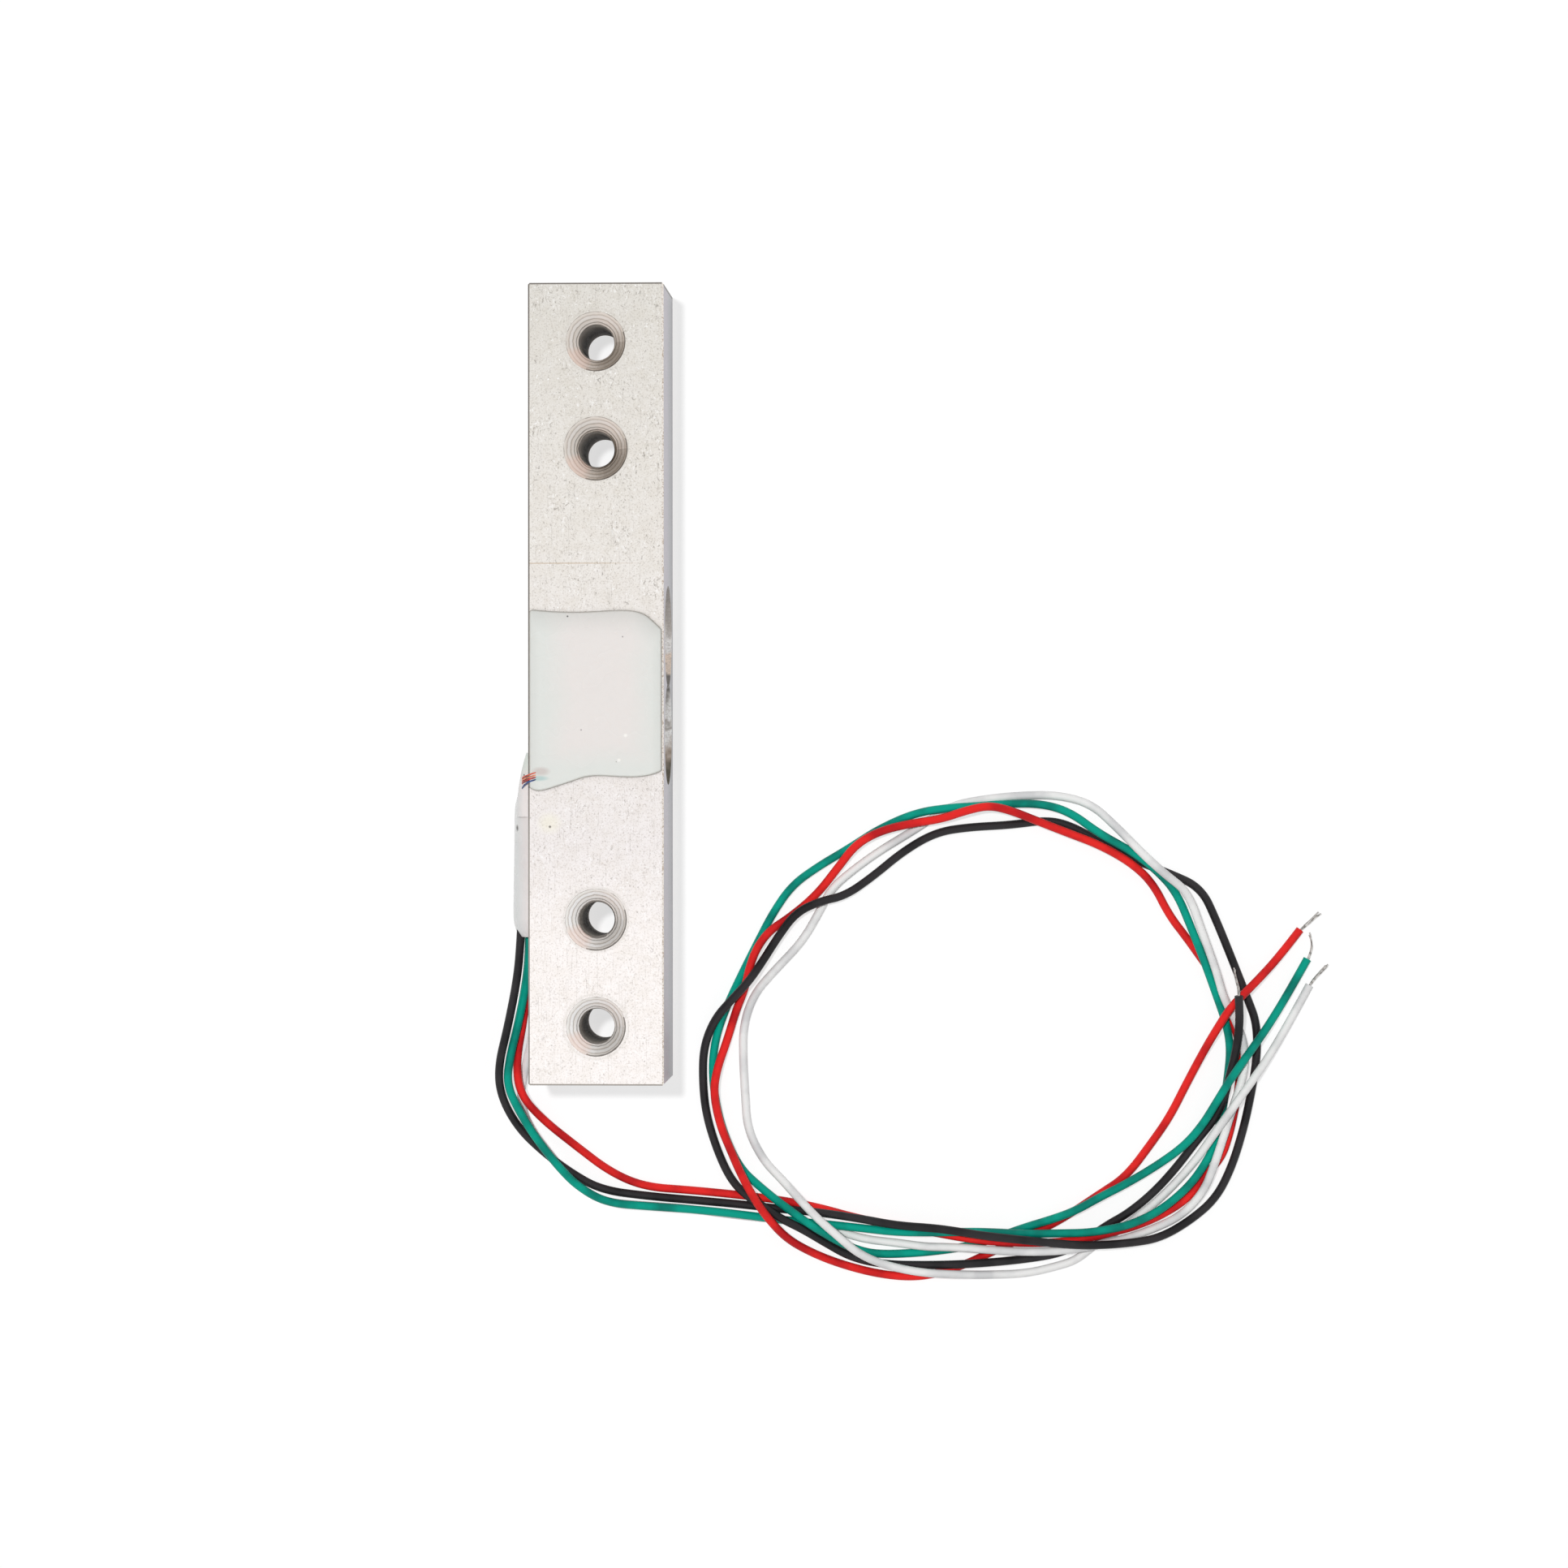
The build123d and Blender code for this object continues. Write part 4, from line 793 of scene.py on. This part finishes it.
# specks of dirt and small bubbles, where they are on this cell
SPECKS = [
    ((-2.6, 33.32), 0.11, "#2f2c2a"), ((2.55, 31.41), 0.09, "#8d8588"), ((-1.33, 22.72), 0.09, "#8d8588"),
    ((2.82, 22.2), 0.22, "#f7f4f0"), ((2.2, 19.9), 0.2, "#f7f4f0"), ((1.95, 19.75), 0.07, "#a29c99"),
]
for (x, y), size, colour in SPECKS:
    spot = mark(tree, in_mm, (x, y, COAT_LEVEL), (size, size, 0.5))
    coat_tone = put(tree, "Mix", {
        0: put(tree, "Math", {0: spot, 1: 0.9}, operation="MULTIPLY"), 6: coat_tone, 7: colour},
        data_type="RGBA")

# the bead: greyer on its outer side, greenish at its tail, with one dark streak
outer = put(tree, "MapRange", {"Value": across, "From Min": -6.7, "From Max": -7.7})
bead_tone = put(tree, "Mix", {0: outer, 6: "#e7e0de", 7: "#e1e2e1"}, data_type="RGBA")
tail = put(tree, "MapRange", {"Value": along, "From Min": 17.8, "From Max": 19.5})
bead_tone = put(tree, "Mix", {
    0: put(tree, "Math", {0: tail, 1: 0.7}, operation="MULTIPLY"), 6: bead_tone, 7: "#d3ded6"},
    data_type="RGBA")
streak = mark(tree, in_mm, (-7.62, 13.53, 10.6), (0.22, 0.4, 0.7))
bead_tone = put(tree, "Mix", {
    0: put(tree, "Math", {0: streak, 1: 0.95}, operation="MULTIPLY"), 6: bead_tone, 7: "#4b4843"},
    data_type="RGBA")
on_coat = put(tree, "Math", {
    0: put(tree, "Math", {
        0: put(tree, "Math", {0: up, 1: BEAM_TOP / 2}, operation="SUBTRACT")}, operation="ABSOLUTE"),
    1: BEAM_TOP / 2 - 0.02}, operation="GREATER_THAN")
tone = put(tree, "Mix", {0: on_coat, 6: bead_tone, 7: coat_tone}, data_type="RGBA")
relief = put(tree, "Bump", {"Height": waves, "Strength": 0.4, "Distance": 0.6 * MM})
gloss = put(tree, "MapRange", {"Value": waves, "To Min": 0.2, "To Max": 0.34})
rubber = put(tree, "BsdfPrincipled", {
    "Base Color": tone, "Roughness": gloss, "Normal": relief, "IOR": 1.42,
    "Subsurface Weight": 0.15, "Subsurface Radius": (1.0, 0.9, 0.85), "Subsurface Scale": 0.3 * MM})
put(tree, "OutputMaterial", {"Surface": rubber})
for node in ("coating_top", "coating_bottom", "side_bead"):
    dress(node, silicone)


# Gauges: an etched foil grid on a polyimide film over each thin web of the
# hollow, glued to the beam and covered by the silicone.
def plain_finish(name, dark, bright, clouds, metallic, roughness, relief_strength, coat=0.0):
    # a material with small clouds of two tones, so many to a millimetre, and a fine relief
    material, tree = blank_material(name)
    place = put(tree, "TexCoord").outputs["Object"]
    haze = put(tree, "TexNoise", {"Vector": place, "Scale": clouds / MM})
    relief = put(tree, "Bump", {"Height": haze, "Strength": relief_strength, "Distance": 0.01 * MM})
    gloss = put(tree, "MapRange", {"Value": haze, "To Min": roughness - 0.06, "To Max": roughness + 0.06})
    surface = put(tree, "BsdfPrincipled", {
        "Base Color": put(tree, "ValToRGB", {0: haze}, stops=[(0.32, dark), (0.68, bright)]),
        "Metallic": metallic, "Roughness": gloss, "Normal": relief, "Coat Weight": coat})
    put(tree, "OutputMaterial", {"Surface": surface})
    return material


# polyimide gives a smooth amber sheen, etched constantan a dull coppery one. Their
# clouds are drawn 1.1 and 0.45 mm wide, coarser than the real ones
film = plain_finish("polyimide_film", "#a9782b", "#c9973f", 0.9, 0.0, 0.25, 0.1)
etched = plain_finish("etched_constantan_foil", "#b08f78", "#d2b49c", 2.2, 1.0, 0.35, 0.2)
for face_side in ("top", "bottom"):
    for end in ("fixed", "load"):
        dress(f"gauge_film_{face_side}_{end}", film)
        dress(f"gauge_foil_{face_side}_{end}", etched)


# Gauge wires and solder: fine enamelled copper, red or orange and one dark
# blue. From its gauge each runs under the silicone, over the beam's edge, where
# the upper four lie bare for a millimetre, and into solder inside the bead.
WIRE_DIAMETER = 0.15
ENAMELS = {
    "load_left": ("#b23a2c", "#e46a4e"), "load_right": ("#bd5636", "#f0936a"),
    "fixed_left": ("#8a1a22", "#c83a3c"), "fixed_right": ("#161d45", "#36559a"),
}
# where each upper wire starts on its foil, where it crosses the edge of the beam,
# how far it turns towards the leads there, and its joint
UPPER_WIRES = {
    "load_left": ((-0.62, 30.52), 18.5, 0.14, "red"), "load_right": ((0.62, 30.52), 18.26, 0.14, "green"),
    "fixed_left": ((-0.62, 21.32), 18.06, 0.16, "green"), "fixed_right": ((0.62, 21.32), 17.84, 0.3, "black"),
}
FOIL_LEVEL = 12.91

# baked enamel on copper gives a hard glint over a deep colour, tin solder a soft
# grey shine. Their clouds are drawn 0.55 and 0.65 mm wide, coarser than the real ones
for gauge_wire, (dark, bright) in ENAMELS.items():
    finish = plain_finish("enamelled_copper_" + gauge_wire, dark, bright, 1.8, 0.5, 0.3, 0.15, 0.6)
    dress("wire_bottom_" + gauge_wire, finish)
    (x, y), crossing, turn, colour = UPPER_WIRES[gauge_wire]
    joint = ROUTES[colour][0]
    run = [
        (x, y, FOIL_LEVEL), (x - 0.3, y - 1.1, FOIL_LEVEL), (-3.2, crossing + 2.0, FOIL_LEVEL),
        (-4.6, crossing + 0.7, FOIL_LEVEL), (-5.4, crossing + 0.3, COAT_LEVEL - 0.12),
        (-5.9, crossing + 0.15, COAT_LEVEL + 0.03), (-6.35, crossing, COAT_LEVEL - 0.12),
        (-6.75, crossing - turn, 12.7), (-6.98, crossing - 2 * turn, 12.2), (-6.6, crossing - 1.6, 11.2),
        (-6.6, joint[1] + 1.6, joint[2] + 0.6), (joint[0], joint[1] + 0.2, joint[2]),
    ]
    piece = round_wire("gauge_wire_" + gauge_wire, WIRE_DIAMETER, [run], finish)
    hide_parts("wire_top_" + gauge_wire)

solder = plain_finish("tin_solder", "#9f9f9f", "#cccccc", 1.5, 1.0, 0.3, 0.2)
for colour in ROUTES:
    dress("solder_" + colour, solder)
